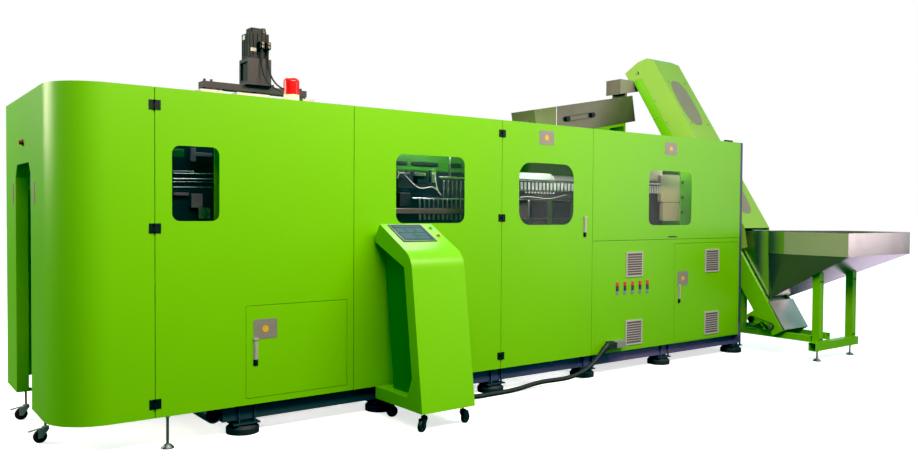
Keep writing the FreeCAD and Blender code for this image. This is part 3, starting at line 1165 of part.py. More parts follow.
def hopper_frame():
    """Square-tube stand: two legs under the hopper, a foot beam, two long stringers and the rear legs."""
    solids = []
    fx0, fx1, fz0, fz1 = FOOT_BEAM
    wall = 3.0
    for y in (LEG_FRONT, REAR_LEG_Y):
        solids.append(square_tube(fx0, fx1, y, y + LEG, fz0, fz1, wall, "x"))
    fall = (HOPPER_RIM_LOW - THROAT_Z) / (plane_y(THROAT_Z) - HOPPER_FRONT)

    def funnel_z(y):
        return HOPPER_RIM_LOW - (y - HOPPER_FRONT) * fall

    for x in LEG_XS:
        y0, y1 = LEG_FRONT, LEG_FRONT + LEG
        leg = prism_x([(y0, fz1), (y1, fz1), (y1, funnel_z(y1)), (y0, funnel_z(y0))], x, x + LEG)
        solids.append(leg.cut(box(x + wall, x + LEG - wall, y0 + wall, y1 - wall, fz1 - 1, funnel_z(y1) - 30)))
    rise, post = math.tan(math.radians(ELEVATOR_ANGLE)), 50.0
    y_ref, z_ref = slope(0, FRAME_LOW_N)

    def pan_z(y):
        return z_ref + (y - y_ref) * rise

    top = fz1 + STRINGER
    for x in (LEG_XS[0] - 20, ELEVATOR_X + ELEVATOR_WIDTH - 60):
        solids.append(square_tube(x, x + post, LEG_FRONT + LEG, REAR_LEG_Y, fz1, top, wall, "y"))
        # a tall rear post and a short one under the elevator's foot
        for y0, base in ((REAR_LEG_Y, fz1), (PROP_Y, top)):
            y1 = y0 + post
            tube = prism_x([(y0, base), (y1, base), (y1, pan_z(y1)), (y0, pan_z(y0))], x, x + post)
            bore = box(x + wall, x + post - wall, y0 + wall, y1 - wall, base - 1, pan_z(y0) - 30)
            solids.append(tube.cut(bore))
    return solids


# ---------------------------------------------------------------- unscrambler
def tilt(shape):
    """Turns a shape drawn level at the trough's left top corner to the trough's slope."""
    return shape.rotated(V(TROUGH_X0, 0, TROUGH_TOP), V(0, 1, 0), -TROUGH_ANGLE)


def trough_length():
    return (TROUGH_X1 - TROUGH_X0) / math.cos(math.radians(TROUGH_ANGLE))


def roller_ys():
    middle = TROUGH_Y0 + TROUGH_WIDTH / 2
    return middle - ROLLER_SPREAD / 2, middle + ROLLER_SPREAD / 2


def roller_z():
    return TROUGH_TOP - 150.0


def unscrambler_trough():
    """The stainless trough with slanted inner floors, the drop chute from the elevator and the preform rails."""
    t = 3.0
    x0, x1 = TROUGH_X0, TROUGH_X0 + trough_length()
    y0, y1 = TROUGH_Y0, TROUGH_Y0 + TROUGH_WIDTH
    z0, z1 = TROUGH_TOP - TROUGH_DEPTH, TROUGH_TOP
    ya, yb = roller_ys()
    zr = roller_z()
    lip = 25.0
    trough = box(x0, x1, y0, y1, z0, z1).cut(box(x0 + t, x1 - t, y0 + t, y1 - t, z0 + t, z1 + 1))
    trough = trough.cut(box(x0 + lip, x1 - lip, y0 + lip, y1 - lip, z0 - 1, z0 + t + 1))
    for inside, side in ((y0, -1), (y1, 1)):
        low = (ya - ROLLER_RADIUS - 2) if side < 0 else (yb + ROLLER_RADIUS + 2)
        wall = inside + (t - 1) * (1 if side < 0 else -1)
        floor = [(wall, z1 - 60), (low, zr + 16), (low, zr + 16 - 4), (wall, z1 - 64)]
        trough = trough.fuse(prism_x(floor, x0 + 1, x1 - 1))
    for y in (ya, yb):
        trough = trough.cut(rod(V(x0 - 5, y, zr), V(x1 + 5, y, zr), 8 + RUNNING))
    return [tilt(trough.removeSplitter()), discharge_chute()]


CHUTE_X0, CHUTE_Y0, CHUTE_Y1 = TROUGH_X1 - 110, TROUGH_Y0 + 78, TROUGH_Y0 + 290
CHUTE_LIFT = 36.0           # chute floor above the trough's top edge
CHUTE_MOUTH = 100.0         # length of the chute's open underside over the trough


def head_under(y):
    """Height of the elevator head's lower side edge at a y between the frame and the outlet."""
    (ya, za), (yb, zb) = slope(*HEAD_OUTLINE[5]), slope(*HEAD_OUTLINE[4])
    return za + (y - ya) * (zb - za) / (yb - ya)


def discharge_chute():
    """The chute from under the elevator's head down into the trough; it stands on the trough's end wall."""
    t = 3.0
    x0, x1, y0, y1 = CHUTE_X0, ELEVATOR_X + ELEVATOR_WIDTH - 6, CHUTE_Y0, CHUTE_Y1
    open_x = ELEVATOR_X - 10
    front_top = head_under(y0 + t) - FREE
    top = head_under(slope(*HEAD_OUTLINE[4])[0]) - FREE

    def floor(x):
        return trough_z(x) + CHUTE_LIFT

    chute = prism_y([(x0, floor(x0)), (x1, floor(x1)), (x1, top), (x0, top)], y0, y1)
    # closed on top up to the elevator, open under its head
    inner = [(x0 + t, floor(x0) + 2 * t), (x1 - t, floor(x1 - t) + t), (x1 - t, top + 1), (open_x, top + 1),
             (open_x, top - t), (x0 + t, top - t)]
    chute = chute.cut(prism_y(inner, y0 + t, y1 - t))
    mouth = [(x0 + t, floor(x0) - 9), (x0 + CHUTE_MOUTH, floor(x0 + CHUTE_MOUTH) - 9),
             (x0 + CHUTE_MOUTH, floor(x0 + CHUTE_MOUTH) + 9), (x0 + t, floor(x0) + 9)]
    chute = chute.cut(prism_y(mouth, y0 + t, y1 - t))
    front = box(open_x, x1, y0, y0 + t, top - 5, front_top)
    saddle_x = TROUGH_X1 - 10
    saddle = prism_y([(saddle_x, trough_z(saddle_x)), (TROUGH_X1, trough_z(TROUGH_X1)),
                      (TROUGH_X1, floor(TROUGH_X1) + 1), (saddle_x, floor(saddle_x) + 1)], y0, y1)
    return fuse([chute, front, saddle])


def unscrambler_roller(y):
    x0, x1 = TROUGH_X0, TROUGH_X0 + trough_length()
    zr = roller_z()
    drum = rod(V(x0 + 12, y, zr), V(x1 - 12, y, zr), ROLLER_RADIUS)
    shaft = rod(V(x0 - 12, y, zr), V(x1 + 8, y, zr), 8)
    return [tilt(fuse([drum, shaft]))]


def unscrambler_drive():
    """Gearmotor on the trough's low end, and the small belt with its two pulleys on the front side."""
    x0, zr = TROUGH_X0, roller_z()
    middle = TROUGH_Y0 + TROUGH_WIDTH / 2
    gearbox = box(x0 - 74, x0, middle - 80, middle + 80, zr - 60, zr + 50)
    gearbox = gearbox.cut(box(x0 - 16, x0 + 1, middle - 70, middle + 70, zr - 20, zr + 20))
    motor = rod(V(x0 - 190, middle - 30, zr + 6), V(x0 - 74, middle - 30, zr + 6), 48)
    cap = rod(V(x0 - 206, middle - 30, zr + 6), V(x0 - 190, middle - 30, zr + 6), 42)
    solids = [tilt(fuse([gearbox, motor, cap]))]
    pulley_r, pulley_z = 24.0, TROUGH_TOP - 142
    places = (x0 + 436, x0 + 812)
    pulleys = []
    for x in places:
        boss = rod(V(x, TROUGH_Y0, pulley_z), V(x, TROUGH_Y0 - 22, pulley_z), 8)
        wheel = rod(V(x, TROUGH_Y0 - 8, pulley_z), V(x, TROUGH_Y0 - 22, pulley_z), pulley_r)
        plate = rounded_y(x - 52, x + 52, pulley_z - 26, pulley_z + 26, 25, TROUGH_Y0 - 4, TROUGH_Y0)
        pulleys.append(fuse([boss, wheel, plate]))

    def band(radius, y0, y1):
        ends = [rod(V(x, y0, pulley_z), V(x, y1, pulley_z), radius) for x in places]
        return fuse([box(places[0], places[1], y0, y1, pulley_z - radius, pulley_z + radius)] + ends)

    loop = band(pulley_r + 2.5, TROUGH_Y0 - 20, TROUGH_Y0 - 10).cut(band(pulley_r, TROUGH_Y0 - 21, TROUGH_Y0 - 9))
    solids += [tilt(shape) for shape in pulleys + [loop]]
    return solids


# ---------------------------------------------------------------- console
CONSOLE_HEAD = [(-78.0, 1279.0), (-18.0, 1191.0), (-22.0, 1160.0)]
CONSOLE_CORNER = (-450.1, 1083.9)   # where the slanted face and the front would meet
CONSOLE_BEND = 150.0        # outer radius of the bend there
CONSOLE_TOE = (-583.0, 121.0)
CONSOLE_SLAB = [(-33.0, 126.0), (-32.0, 200.0)]
CONSOLE_BAND = [(-416.0, 198.0), (-466.0, 326.0), (-371.0, 1013.0)]


def console_outer():
    return [CONSOLE_HEAD[0], CONSOLE_HEAD[1], CONSOLE_HEAD[2], CONSOLE_BAND[2], CONSOLE_BAND[1], CONSOLE_BAND[0],
            CONSOLE_SLAB[1], (CONSOLE_SLAB[0][0], CONSOLE_TOE[1]), CONSOLE_TOE, CONSOLE_CORNER]


def shrink(points, t):
    """An inward offset of a closed outline in y and z, worked out from its corner bisectors."""
    n = len(points)
    area = sum(points[i][0] * points[(i + 1) % n][1] - points[(i + 1) % n][0] * points[i][1] for i in range(n))
    sign = 1 if area > 0 else -1
    result = []
    for i in range(n):
        (ax, ay), (bx, by), (cx, cy) = points[i - 1], points[i], points[(i + 1) % n]
        d1, d2 = math.hypot(bx - ax, by - ay), math.hypot(cx - bx, cy - by)
        n1 = (-(by - ay) / d1 * sign, (bx - ax) / d1 * sign)
        n2 = (-(cy - by) / d2 * sign, (cx - bx) / d2 * sign)
        scale = t / (1 + n1[0] * n2[0] + n1[1] * n2[1])
        result.append((bx + (n1[0] + n2[0]) * scale, by + (n1[1] + n2[1]) * scale))
    return result


def round_bend(solid, radius):
    """Rounds the edge that lies nearest to the console's corner."""
    y, z = CONSOLE_CORNER
    edge = min(solid.Edges, key=lambda e: math.hypot(e.CenterOfMass.y - y, e.CenterOfMass.z - z))
    return solid.makeFillet(radius, [edge])


def console_body():
    """A folded housing: head, front band and foot at full width, and a narrower core that fills its inside."""
    t = CONSOLE_SHEET
    x0, x1 = CONSOLE_X, CONSOLE_X + CONSOLE_WIDTH
    outer = console_outer()
    shell = round_bend(prism_x(outer, x0, x1), CONSOLE_BEND)
    shell = shell.cut(round_bend(prism_x(shrink(outer, t), x0 + t, x1 - t), CONSOLE_BEND - t))
    back_top, back_low = (-24.0, 1161.0), (-150.0, 200.0)
    core = [back_top, back_low, CONSOLE_BAND[0], CONSOLE_BAND[1], CONSOLE_BAND[2]]
    web = prism_x(core, x0 + CONSOLE_INSET, x1 - CONSOLE_INSET)
    web = web.cut(prism_x(shrink(core, t), x0 + CONSOLE_INSET + t, x1 - CONSOLE_INSET - t))
    return [fuse([shell, web, cable_gland(CONSOLE_CABLE[-1], CONSOLE_CABLE[-2], 24)])]


def head_frame():
    """Origin and directions of the console's slanted face: down the slope, and out of it."""
    (ya, za), (yb, zb) = CONSOLE_HEAD[0], CONSOLE_CORNER
    d = math.hypot(yb - ya, zb - za)
    down = V(0, (yb - ya) / d, (zb - za) / d)
    out = V(0, down.z, -down.y)
    return V(CONSOLE_X, ya, za), down, out


def on_head(x, down_by, lift):
    origin, down, out = head_frame()
    return origin + V(x, 0, 0) + down * down_by + out * lift


def console_screen():
    """The touch screen: a bezel on the slanted face with the glass let into it."""
    x0, x1, a0, a1 = 50.0, 312.0, 16.0, 240.0
    _, down, out = head_frame()
    corners = [on_head(x, a, 0) for x, a in ((x0, a0), (x1, a0), (x1, a1), (x0, a1))]
    bezel = prism(corners, out * 6)
    inset = [on_head(x, a, 4) for x, a in ((x0 + 14, a0 + 12), (x1 - 14, a0 + 12), (x1 - 14, a1 - 12),
                                          (x0 + 14, a1 - 12))]
    return [bezel.cut(prism(inset, out * 5))]


def console_button(down_by):
    """A push button's cap over its fixed ring; the ring belongs to the console."""
    _, _, out = head_frame()
    base = on_head(366.0, down_by, 0)
    return Part.makeCylinder(BUTTON_RADIUS, 9, base + out * 4, out)


def button_ring(down_by):
    _, _, out = head_frame()
    base = on_head(366.0, down_by, 0)
    ring = Part.makeCylinder(BUTTON_RADIUS + 5, 7, base, out)
    return ring.cut(Part.makeCylinder(BUTTON_RADIUS + FREE, 8, base + out * 0.5, out))


BUTTONS = {"start_button": 65.0, "stop_button": 169.0}
CONSOLE_CASTERS = ((1998.0, -520.0, 25.0), (2300.0, -520.0, -160.0), (1998.0, -95.0, 160.0), (2300.0, -95.0, -20.0))

CABLE = 36.0
CONNECTOR = (4130.0, -45.0, 238.0)
CONSOLE_CABLE = [CONNECTOR, (4068, -45, 188), (4005, -44, 134), (3925, -40, 90), (3825, -34, 58), (3705, -30, 42),
                 (3580, -27, 43), (3455, -26, 46), (3340, -28, 38), (3225, -34, 26), (3090, -38, 19),
                 (2940, -34, 18.5), (2790, -46, 20), (2660, -72, 44), (2550, -102, 90), (2460, -126, 136),
                 (2366, -138, 156)]


def build():
    nodes = {
        "base_frame": base_frame(),
        "machine_mounts": machine_mounts(),
        "enclosure_frame": enclosure_frame(),
        "front_panels": front_panels(),
        "window_panes": window_panes(),
        "rear_panels": rear_panels(),
        "roof_panels": roof_panels() + cable_glands(),
        "near_end_door": near_end_door(),
        "far_end_door": far_end_door(),
        "access_door": access_door(),
        "access_handle": [lever(*ACCESS_LEVER)],
        "window_door": window_door(),
        "window_door_pane": [window_pane("oven")],
        "window_door_handle": [lever(*WINDOW_LEVER)],
        "cabinet_shell": cabinet_shell(),
        "cabinet_fittings": cabinet_fittings(),
        "cabinet_door": cabinet_door(),
        "cabinet_handle": [lever(*CABINET_LEVER)],
        "console_cable": [cord("console cable", CONSOLE_CABLE, CABLE)],
        "stretch_crossbeam": stretch_crossbeam(),
        "servo_motor": servo_motor(),
        "servo_power_cable": [cord("servo power cable", POWER_ROUTE, SERVO_CABLE)],
        "servo_signal_cable": [cord("servo signal cable", SIGNAL_ROUTE, SERVO_CABLE)],
        "beacon": beacon(),
        "stretch_carriage": stretch_carriage(),
        "blow_clamp_frame": blow_clamp_frame(),
        "front_platen": front_platen(),
        "rear_platen": rear_platen(),
        "oven_body": oven_body(),
        "heater_modules": heater_modules(),
        "preform_transport": spindle_chain() + transfer_rail(),
        "transfer_carriage": transfer_carriage(),
        "elevator_frame": elevator_frame(),
        "elevator_cover": elevator_cover(),
        "elevator_belt": elevator_belt(),
        "elevator_head_roller": elevator_roller(HEAD_S, False),
        "elevator_foot_roller": elevator_roller(FOOT_S, True),
        "elevator_drive": elevator_drive(),
        "hopper_bin": hopper_bin(),
        "hopper_frame": hopper_frame(),
        "unscrambler_trough": unscrambler_trough(),
        "unscrambler_front_roller": unscrambler_roller(roller_ys()[0]),
        "unscrambler_rear_roller": unscrambler_roller(roller_ys()[1]),
        "unscrambler_drive": unscrambler_drive(),
        "console_body": console_body() + [button_ring(a) for a in BUTTONS.values()],
        "console_screen": console_screen(),
    }
    for name, down_by in BUTTONS.items():
        nodes[name] = [console_button(down_by)]
    near_fork, near_wheel = caster(DOOR_CASTER[0], DOOR_CASTER[1], CLEARANCE_UNDER, 0.0, True)
    nodes["near_caster_fork"], nodes["near_caster_wheel"] = [near_fork], [near_wheel]
    nodes["far_caster_fork"], nodes["far_caster_wheel"] = [mirror_y(near_fork)], [mirror_y(near_wheel)]
    for k, (x, y, angle) in enumerate(CONSOLE_CASTERS, 1):
        fork, wheel = caster(x, y, CONSOLE_TOE[1], angle, False)
        nodes["console_caster_%d" % k], nodes["console_wheel_%d" % k] = [fork], [wheel]
    return nodes


def main():
    os.makedirs("parts", exist_ok=True)
    (f0, f1), _ = beam_ys()
    origin = V(MOUNT_FIRST, (f0 + f1) / 2, 0)
    nodes = build()
    for name, solids in nodes.items():
        shape = Part.makeCompound([solid for solid in solids])
        shape.translate(origin * -1)
        shape.exportStep("parts/%s.step" % name)
    print("nodes:", len(nodes))


main()
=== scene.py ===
import math
import bmesh
import bpy
import numpy as np
from mathutils import Matrix, Vector


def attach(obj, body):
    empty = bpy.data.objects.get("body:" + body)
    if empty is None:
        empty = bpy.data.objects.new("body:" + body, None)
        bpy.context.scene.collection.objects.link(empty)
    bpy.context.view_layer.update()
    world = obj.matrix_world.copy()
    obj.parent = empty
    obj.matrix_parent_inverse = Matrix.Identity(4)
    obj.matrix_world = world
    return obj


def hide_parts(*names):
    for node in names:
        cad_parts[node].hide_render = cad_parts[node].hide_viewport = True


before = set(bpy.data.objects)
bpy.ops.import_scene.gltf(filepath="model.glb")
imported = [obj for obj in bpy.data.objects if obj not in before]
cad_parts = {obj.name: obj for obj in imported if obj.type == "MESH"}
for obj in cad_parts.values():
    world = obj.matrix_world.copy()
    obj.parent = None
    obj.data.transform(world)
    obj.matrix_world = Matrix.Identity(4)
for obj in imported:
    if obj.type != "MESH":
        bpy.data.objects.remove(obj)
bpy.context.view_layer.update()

# ---------------------------------------------------------------- the view
# A wide-angle lens at eye height in front of the machine's left end, turned to look along its front. The
# machine is drawn in millimetres from its left front floor corner; the row frame's origin lies under the
# first mount.
MOUNT_AT = np.array([1080.0, 120.0, 0.0])
PER_METRE = 1000.0


def at(*point):
    """Drawing millimetres to metres of the row frame: less the first mount's place, then divided by 1000."""
    return (np.array(point, float) - MOUNT_AT) / PER_METRE


EYE = (-848.0, -4645.0, 1363.0)
TURN, NOD, LEAN = math.radians(53.01), math.radians(-1.35), math.radians(0.37)
FOCAL_PIXELS, FRAME_PIXELS, SENSOR = 810.1, 918.0, 36.0
NEAREST, FARTHEST = 0.05, 300                   # the lens's range, in metres
BLACK_LEVEL = (0.016, 0.005, 0.003)             # the picture's shadows lose their red first

lens = bpy.data.cameras.new("front_left_view")
lens.sensor_width = SENSOR
lens.lens = FOCAL_PIXELS / FRAME_PIXELS * SENSOR
lens.clip_start, lens.clip_end = NEAREST, FARTHEST
camera = bpy.data.objects.new("front_left_view", lens)
bpy.context.scene.collection.objects.link(camera)
ahead = np.array([math.cos(NOD) * math.cos(TURN), math.cos(NOD) * math.sin(TURN), math.sin(NOD)])
level = np.array([math.sin(TURN), -math.cos(TURN), 0.0])
upright = np.cross(level, ahead)
aside = level * math.cos(LEAN) + upright * math.sin(LEAN)
over = upright * math.cos(LEAN) - level * math.sin(LEAN)
pose = np.eye(4)
pose[:3, 0], pose[:3, 1], pose[:3, 2], pose[:3, 3] = aside, over, -ahead, at(*EYE)
camera.matrix_world = Matrix(pose.tolist())
bpy.context.scene.camera = camera
grading = bpy.context.scene.view_settings
grading.view_transform = "Standard"
grading.use_curve_mapping = True
grading.curve_mapping.black_level = BLACK_LEVEL
grading.curve_mapping.update()


# ---------------------------------------------------------------- base and mounts
# Rolled box beams and cross members, welded and sprayed with a dark blue machine enamel, which is painted
# lighter and violet towards the right end as painted light; a little dust on it gives a soft mottle. Round
# rubber mounts stand under the cross members.
def put(tree, kind, inputs=None, **settings):
    """Adds one node to a tree, sets its settings, and sets or links its inputs."""
    node = tree.nodes.new(kind)
    for name, value in settings.items():
        setattr(node, name, value)
    for name, value in (inputs or {}).items():
        if isinstance(value, bpy.types.NodeSocket):
            tree.links.new(value, node.inputs[name])
        else:
            node.inputs[name].default_value = value
    return node


def ink(code):
    """An sRGB hex colour as linear RGB and 1: each channel c becomes ((c + 0.055) / 1.055) to the 2.4, or
    c / 12.92 where it is at most 0.04045."""
    c = np.array([int(code[i:i + 2], 16) for i in (1, 3, 5)]) / 255.0
    c = np.where(c <= 0.04045, c / 12.92, ((c + 0.055) / 1.055) ** 2.4)
    return (float(c[0]), float(c[1]), float(c[2]), 1.0)


def inside(tree, low, high, tilt=0.0):
    """1 inside a box in drawing millimetres and 0 outside: the largest of |p - centre| - half size is below
    zero. A tilt in degrees leans the box about the line along X through its centre."""
    lo, hi = at(*low), at(*high)
    middle, half = tuple((lo + hi) / 2), tuple((hi - lo) / 2)
    off = put(tree, "ShaderNodeTexCoord").outputs["Object"]
    off = put(tree, "ShaderNodeVectorMath", {0: off, 1: middle}, operation="SUBTRACT").outputs[0]
    if tilt:
        off = put(tree, "ShaderNodeVectorRotate", {"Vector": off, "Angle": -math.radians(tilt)},
                  rotation_type="X_AXIS").outputs[0]
    off = put(tree, "ShaderNodeVectorMath", {0: off}, operation="ABSOLUTE")
    off = put(tree, "ShaderNodeVectorMath", {0: off.outputs[0], 1: half}, operation="SUBTRACT")
    axes = put(tree, "ShaderNodeSeparateXYZ", {0: off.outputs[0]}).outputs
    most = put(tree, "ShaderNodeMath", {0: axes[0], 1: axes[1]}, operation="MAXIMUM")
    most = put(tree, "ShaderNodeMath", {0: most.outputs[0], 1: axes[2]}, operation="MAXIMUM")
    return put(tree, "ShaderNodeMath", {0: most.outputs[0], 1: 0.0}, operation="LESS_THAN").outputs[0]


NOISE_LOW, NOISE_HIGH = 0.3, 0.7                # nearly all of a noise texture lies between these
MOTTLE_DETAIL, GRAIN_DETAIL = 3.0, 2.0
ROUGH_SPREAD, BUMP_STRENGTH = 0.05, 0.6         # what the grain adds to the roughness and to the surface


def finish(name, ground, patches=(), cloud=(700, 0.06), grain=(12, 0.04), stretch=(1, 1, 1), **shader):
    """A finish over one or more stuffs. A stuff is (colour, metallic, roughness). Each patch is (stuff,
    boxes): inside any of its boxes, in drawing millimetres, that stuff takes over. cloud is a soft mottle
    (size in mm, share of the colour), grain a fine one (size in mm, bump height in mm); stretch draws the
    grain out, as brushing does."""
    made = bpy.data.materials.new(name)
    made.use_nodes = True
    tree = made.node_tree
    tree.nodes.clear()
    colour, metal, rough = ink(ground[0]), ground[1], ground[2]
    for stuff, boxes in patches:
        mask = inside(tree, *boxes[0])
        for more in boxes[1:]:
            mask = put(tree, "ShaderNodeMath", {0: mask, 1: inside(tree, *more)},
                       operation="MAXIMUM").outputs[0]
        colour = put(tree, "ShaderNodeMix", {0: mask, 6: colour, 7: ink(stuff[0])},
                     data_type="RGBA").outputs[2]
        metal = put(tree, "ShaderNodeMix", {0: mask, 2: metal, 3: stuff[1]}).outputs[0]
        rough = put(tree, "ShaderNodeMix", {0: mask, 2: rough, 3: stuff[2]}).outputs[0]
    place = put(tree, "ShaderNodeTexCoord").outputs["Object"]
    soft = put(tree, "ShaderNodeTexNoise",
               {"Vector": place, "Scale": PER_METRE / cloud[0], "Detail": MOTTLE_DETAIL}).outputs[0]
    share = put(tree, "ShaderNodeMapRange",
                {0: soft, 1: NOISE_LOW, 2: NOISE_HIGH, 3: 1 - cloud[1], 4: 1 + cloud[1]}).outputs[0]
    shade = colour[:3] if isinstance(colour, tuple) else colour
    tint = put(tree, "ShaderNodeVectorMath", {0: shade, "Scale": share}, operation="SCALE").outputs[0]
    drawn = put(tree, "ShaderNodeMapping", {0: place, 3: stretch}).outputs[0]
    fine = put(tree, "ShaderNodeTexNoise",
               {"Vector": drawn, "Scale": PER_METRE / grain[0], "Detail": GRAIN_DETAIL}).outputs[0]
    spread = put(tree, "ShaderNodeMapRange", {0: fine, 3: -ROUGH_SPREAD, 4: ROUGH_SPREAD}).outputs[0]
    rough = put(tree, "ShaderNodeMath", {0: rough, 1: spread}, operation="ADD", use_clamp=True).outputs[0]
    bump = put(tree, "ShaderNodeBump",
               {"Height": fine, "Distance": grain[1] / PER_METRE, "Strength": BUMP_STRENGTH}).outputs[0]
    values = {"Base Color": tint, "Metallic": metal, "Roughness": rough, "Normal": bump, **shader}
    body = put(tree, "ShaderNodeBsdfPrincipled", values)
    put(tree, "ShaderNodeOutputMaterial", {"Surface": body.outputs[0]})
    return made


def dress(material, *names):
    """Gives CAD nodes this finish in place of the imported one."""
    for name in names:
        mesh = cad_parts[name].data
        mesh.materials.clear()
        mesh.materials.append(material)


ENAMEL_ROUGH = 0.42
# Painted light: in these boxes the enamel is painted lighter and violet, as where more light falls on it.
LIT_BEAMS_MIDDLE = ((2700, -50, 80), (4300, 1850, 300))
LIT_BEAMS_RIGHT = ((4300, -50, 80), (6300, 1850, 300))
LIT_RIGHT_POSTS = ((6050, -50, 300), (6300, 1850, 2060))
dress(finish("navy_machine_enamel", ("#2B3843", 0.0, ENAMEL_ROUGH), [
    (("#41446A", 0.0, ENAMEL_ROUGH), [LIT_BEAMS_MIDDLE]), (("#5C5182", 0.0, ENAMEL_ROUGH), [LIT_BEAMS_RIGHT]),
    (("#3E4160", 0.0, ENAMEL_ROUGH), [LIT_RIGHT_POSTS])], cloud=(400, 0.18), grain=(14, 0.12)), "base_frame")

# Vulcanised rubber pucks, dull and nearly black, with a plated stud; the slim levelling feet are plated down
# to their rubber soles.
ZINC = ("#A9ABAE", 1.0, 0.34)
LEFT_FEET = ((-500, -900, 6), (900, 1900, 300))
STAND_FEET = ((6240, -800, 6), (7100, 1100, 300))
STUDS = ((900, 0, 52.5), (6200, 1800, 90))
dress(finish("mount_rubber_and_zinc", ("#1C1A22", 0.0, 0.6), [(ZINC, [LEFT_FEET, STAND_FEET, STUDS])],
             cloud=(60, 0.15), grain=(8, 0.15)), "machine_mounts")

# ---------------------------------------------------------------- enclosure panels
# Two-millimetre folded steel panels with a bright yellow-green polyester powder coat: an even satin gloss
# with a little orange peel (drawn 25 mm coarse, so that it shows). Hinges are black lift-off die castings on
# the panel faces.
COAT = ("#6EBC00", 0.0, 0.34)
SHINE = {"Specular IOR Level": 0.3}
BLACK_CASTING = ("#121314", 0.0, 0.42)
FRONT_HINGES = ((400, -40, 150), (3200, -0.6, 2049))


def coated(name, patches=(), coat=COAT):
    """The powder coat under a name of its own, with patches of other stuffs on it."""
    return finish(name, coat, patches, cloud=(1500, 0.03), grain=(25, 0.05), **SHINE)


green = coated("green_powder_coat")
dress(finish("green_coat_tube", ("#6CAE00", 0.0, 0.4), cloud=(900, 0.06), grain=(25, 0.05), **SHINE),
      "enclosure_frame")
dress(coated("green_coat_black_hinges", [(BLACK_CASTING, [FRONT_HINGES])]), "front_panels")
dress(green, "rear_panels")


def superellipse(a, b, square, count):
    """A closed outline of points: a |cos t| and b |sin t|, each to the power 2 / square, with the signs of
    cos and sin. square = 2 gives an ellipse, and larger values a rectangle with ever tighter round
    corners."""
    t = (np.arange(count) + 0.5) * 2 * np.pi / count
    c, s = np.cos(t), np.sin(t)
    return np.c_[a * np.sign(c) * abs(c) ** (2 / square), b * np.sign(s) * abs(s) ** (2 / square)]


def block(low, high, along=1, square=9.0, edge=1.5, count=32):
    """Rings of a block with rounded corners between two corners in drawing millimetres: the same superellipse
    stands at both ends of the axis `along` (0, 1, 2 for X, Y, Z) and again, drawn in by `edge`, on the two
    end faces."""
    low, high = np.array(low, float), np.array(high, float)
    first, second = [k for k in range(3) if k != along]
    half, middle = (high - low) / 2, (high + low) / 2
    edge = min(edge, 0.45 * half.min())
    full = superellipse(half[first], half[second], square, count)
    small = superellipse(half[first] - edge, half[second] - edge, square, count)
    rings = np.zeros((4, count, 3))
    for k, (outline, place) in enumerate(((small, low[along]), (full, low[along] + edge),
                                          (full, high[along] - edge), (small, high[along]))):
        rings[k][:, first] = outline[:, 0] + middle[first]
        rings[k][:, second] = outline[:, 1] + middle[second]
        rings[k][:, along] = place
    return rings


def turned(start, end, profile, count=24):
    """Rings of a turned piece on the line from start to end: at each (share of the length, radius) of the
    profile stands a circle square to the line."""
    start, end = np.array(start, float), np.array(end, float)
    way = (end - start) / np.linalg.norm(end - start)
    side = np.cross(way, (0.0, 0.0, 1.0) if abs(way[2]) < 0.9 else (1.0, 0.0, 0.0))
    side /= np.linalg.norm(side)
    t = np.arange(count) * 2 * np.pi / count
    circle = np.cos(t)[:, None] * side + np.sin(t)[:, None] * np.cross(way, side)
    shares, radii = np.array(profile, float).T
    return start + shares[:, None, None] * (end - start) + radii[:, None, None] * circle


def leaned(rings, origin, degrees, axis=0):
    """Turns rings that are drawn level from an origin: along X and Y they keep their place, and the turn is
    about the line through the origin along X (axis 0) or along Y (axis 1)."""
    a = math.radians(degrees)
    c, s = math.cos(a), math.sin(a)
    turn = {0: [[1, 0, 0], [0, c, -s], [0, s, c]], 1: [[c, 0, -s], [0, 1, 0], [s, 0, c]]}[axis]
    return rings @ np.array(turn).T + np.array(origin, float)


SHARP_FROM = math.radians(35)


def piece(name, material, stacks, body="machine"):
    """One object from stacks of rings: neighbouring rings are joined by quads, the first and last closed."""
    points, faces, count = [], [], 0
    for rings in stacks:
        rows, around = rings.shape[:2]
        r, c = np.arange(rows - 1)[:, None] * around, np.arange(around)[None, :]
        n = (c + 1) % around
        quads = np.stack([r + c, r + n, r + around + n, r + around + c], -1).reshape(-1, 4)
        faces += (quads + count).tolist()
        ends = np.arange(around) + count
        faces += [ends[::-1].tolist(), (ends + (rows - 1) * around).tolist()]
        points.append(rings.reshape(-1, 3))
        count += rows * around
    mesh = bpy.data.meshes.new(name)
    mesh.from_pydata((np.concatenate(points) - MOUNT_AT) / PER_METRE, [], faces)
    outward = bmesh.new()
    outward.from_mesh(mesh)
    bmesh.ops.recalc_face_normals(outward, faces=outward.faces)
    outward.to_mesh(mesh)
    outward.free()
    mesh.polygons.foreach_set("use_smooth", [True] * len(mesh.polygons))
    mesh.set_sharp_from_angle(angle=SHARP_FROM)
    mesh.materials.append(material)
    made = bpy.data.objects.new(name, mesh)
    bpy.context.scene.collection.objects.link(made)
    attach(made, body)


# Thin bare plates stand on the front: anodised in a warm grey, with a plain amber disc in the middle.
PLATE_GREY, AMBER = ("#8C8984", 0.3, 0.42), ("#D6A224", 0.0, 0.35)
DISC, DISC_ROOM = 21.0, 2           # the disc's radius, and the room round it that takes its colour


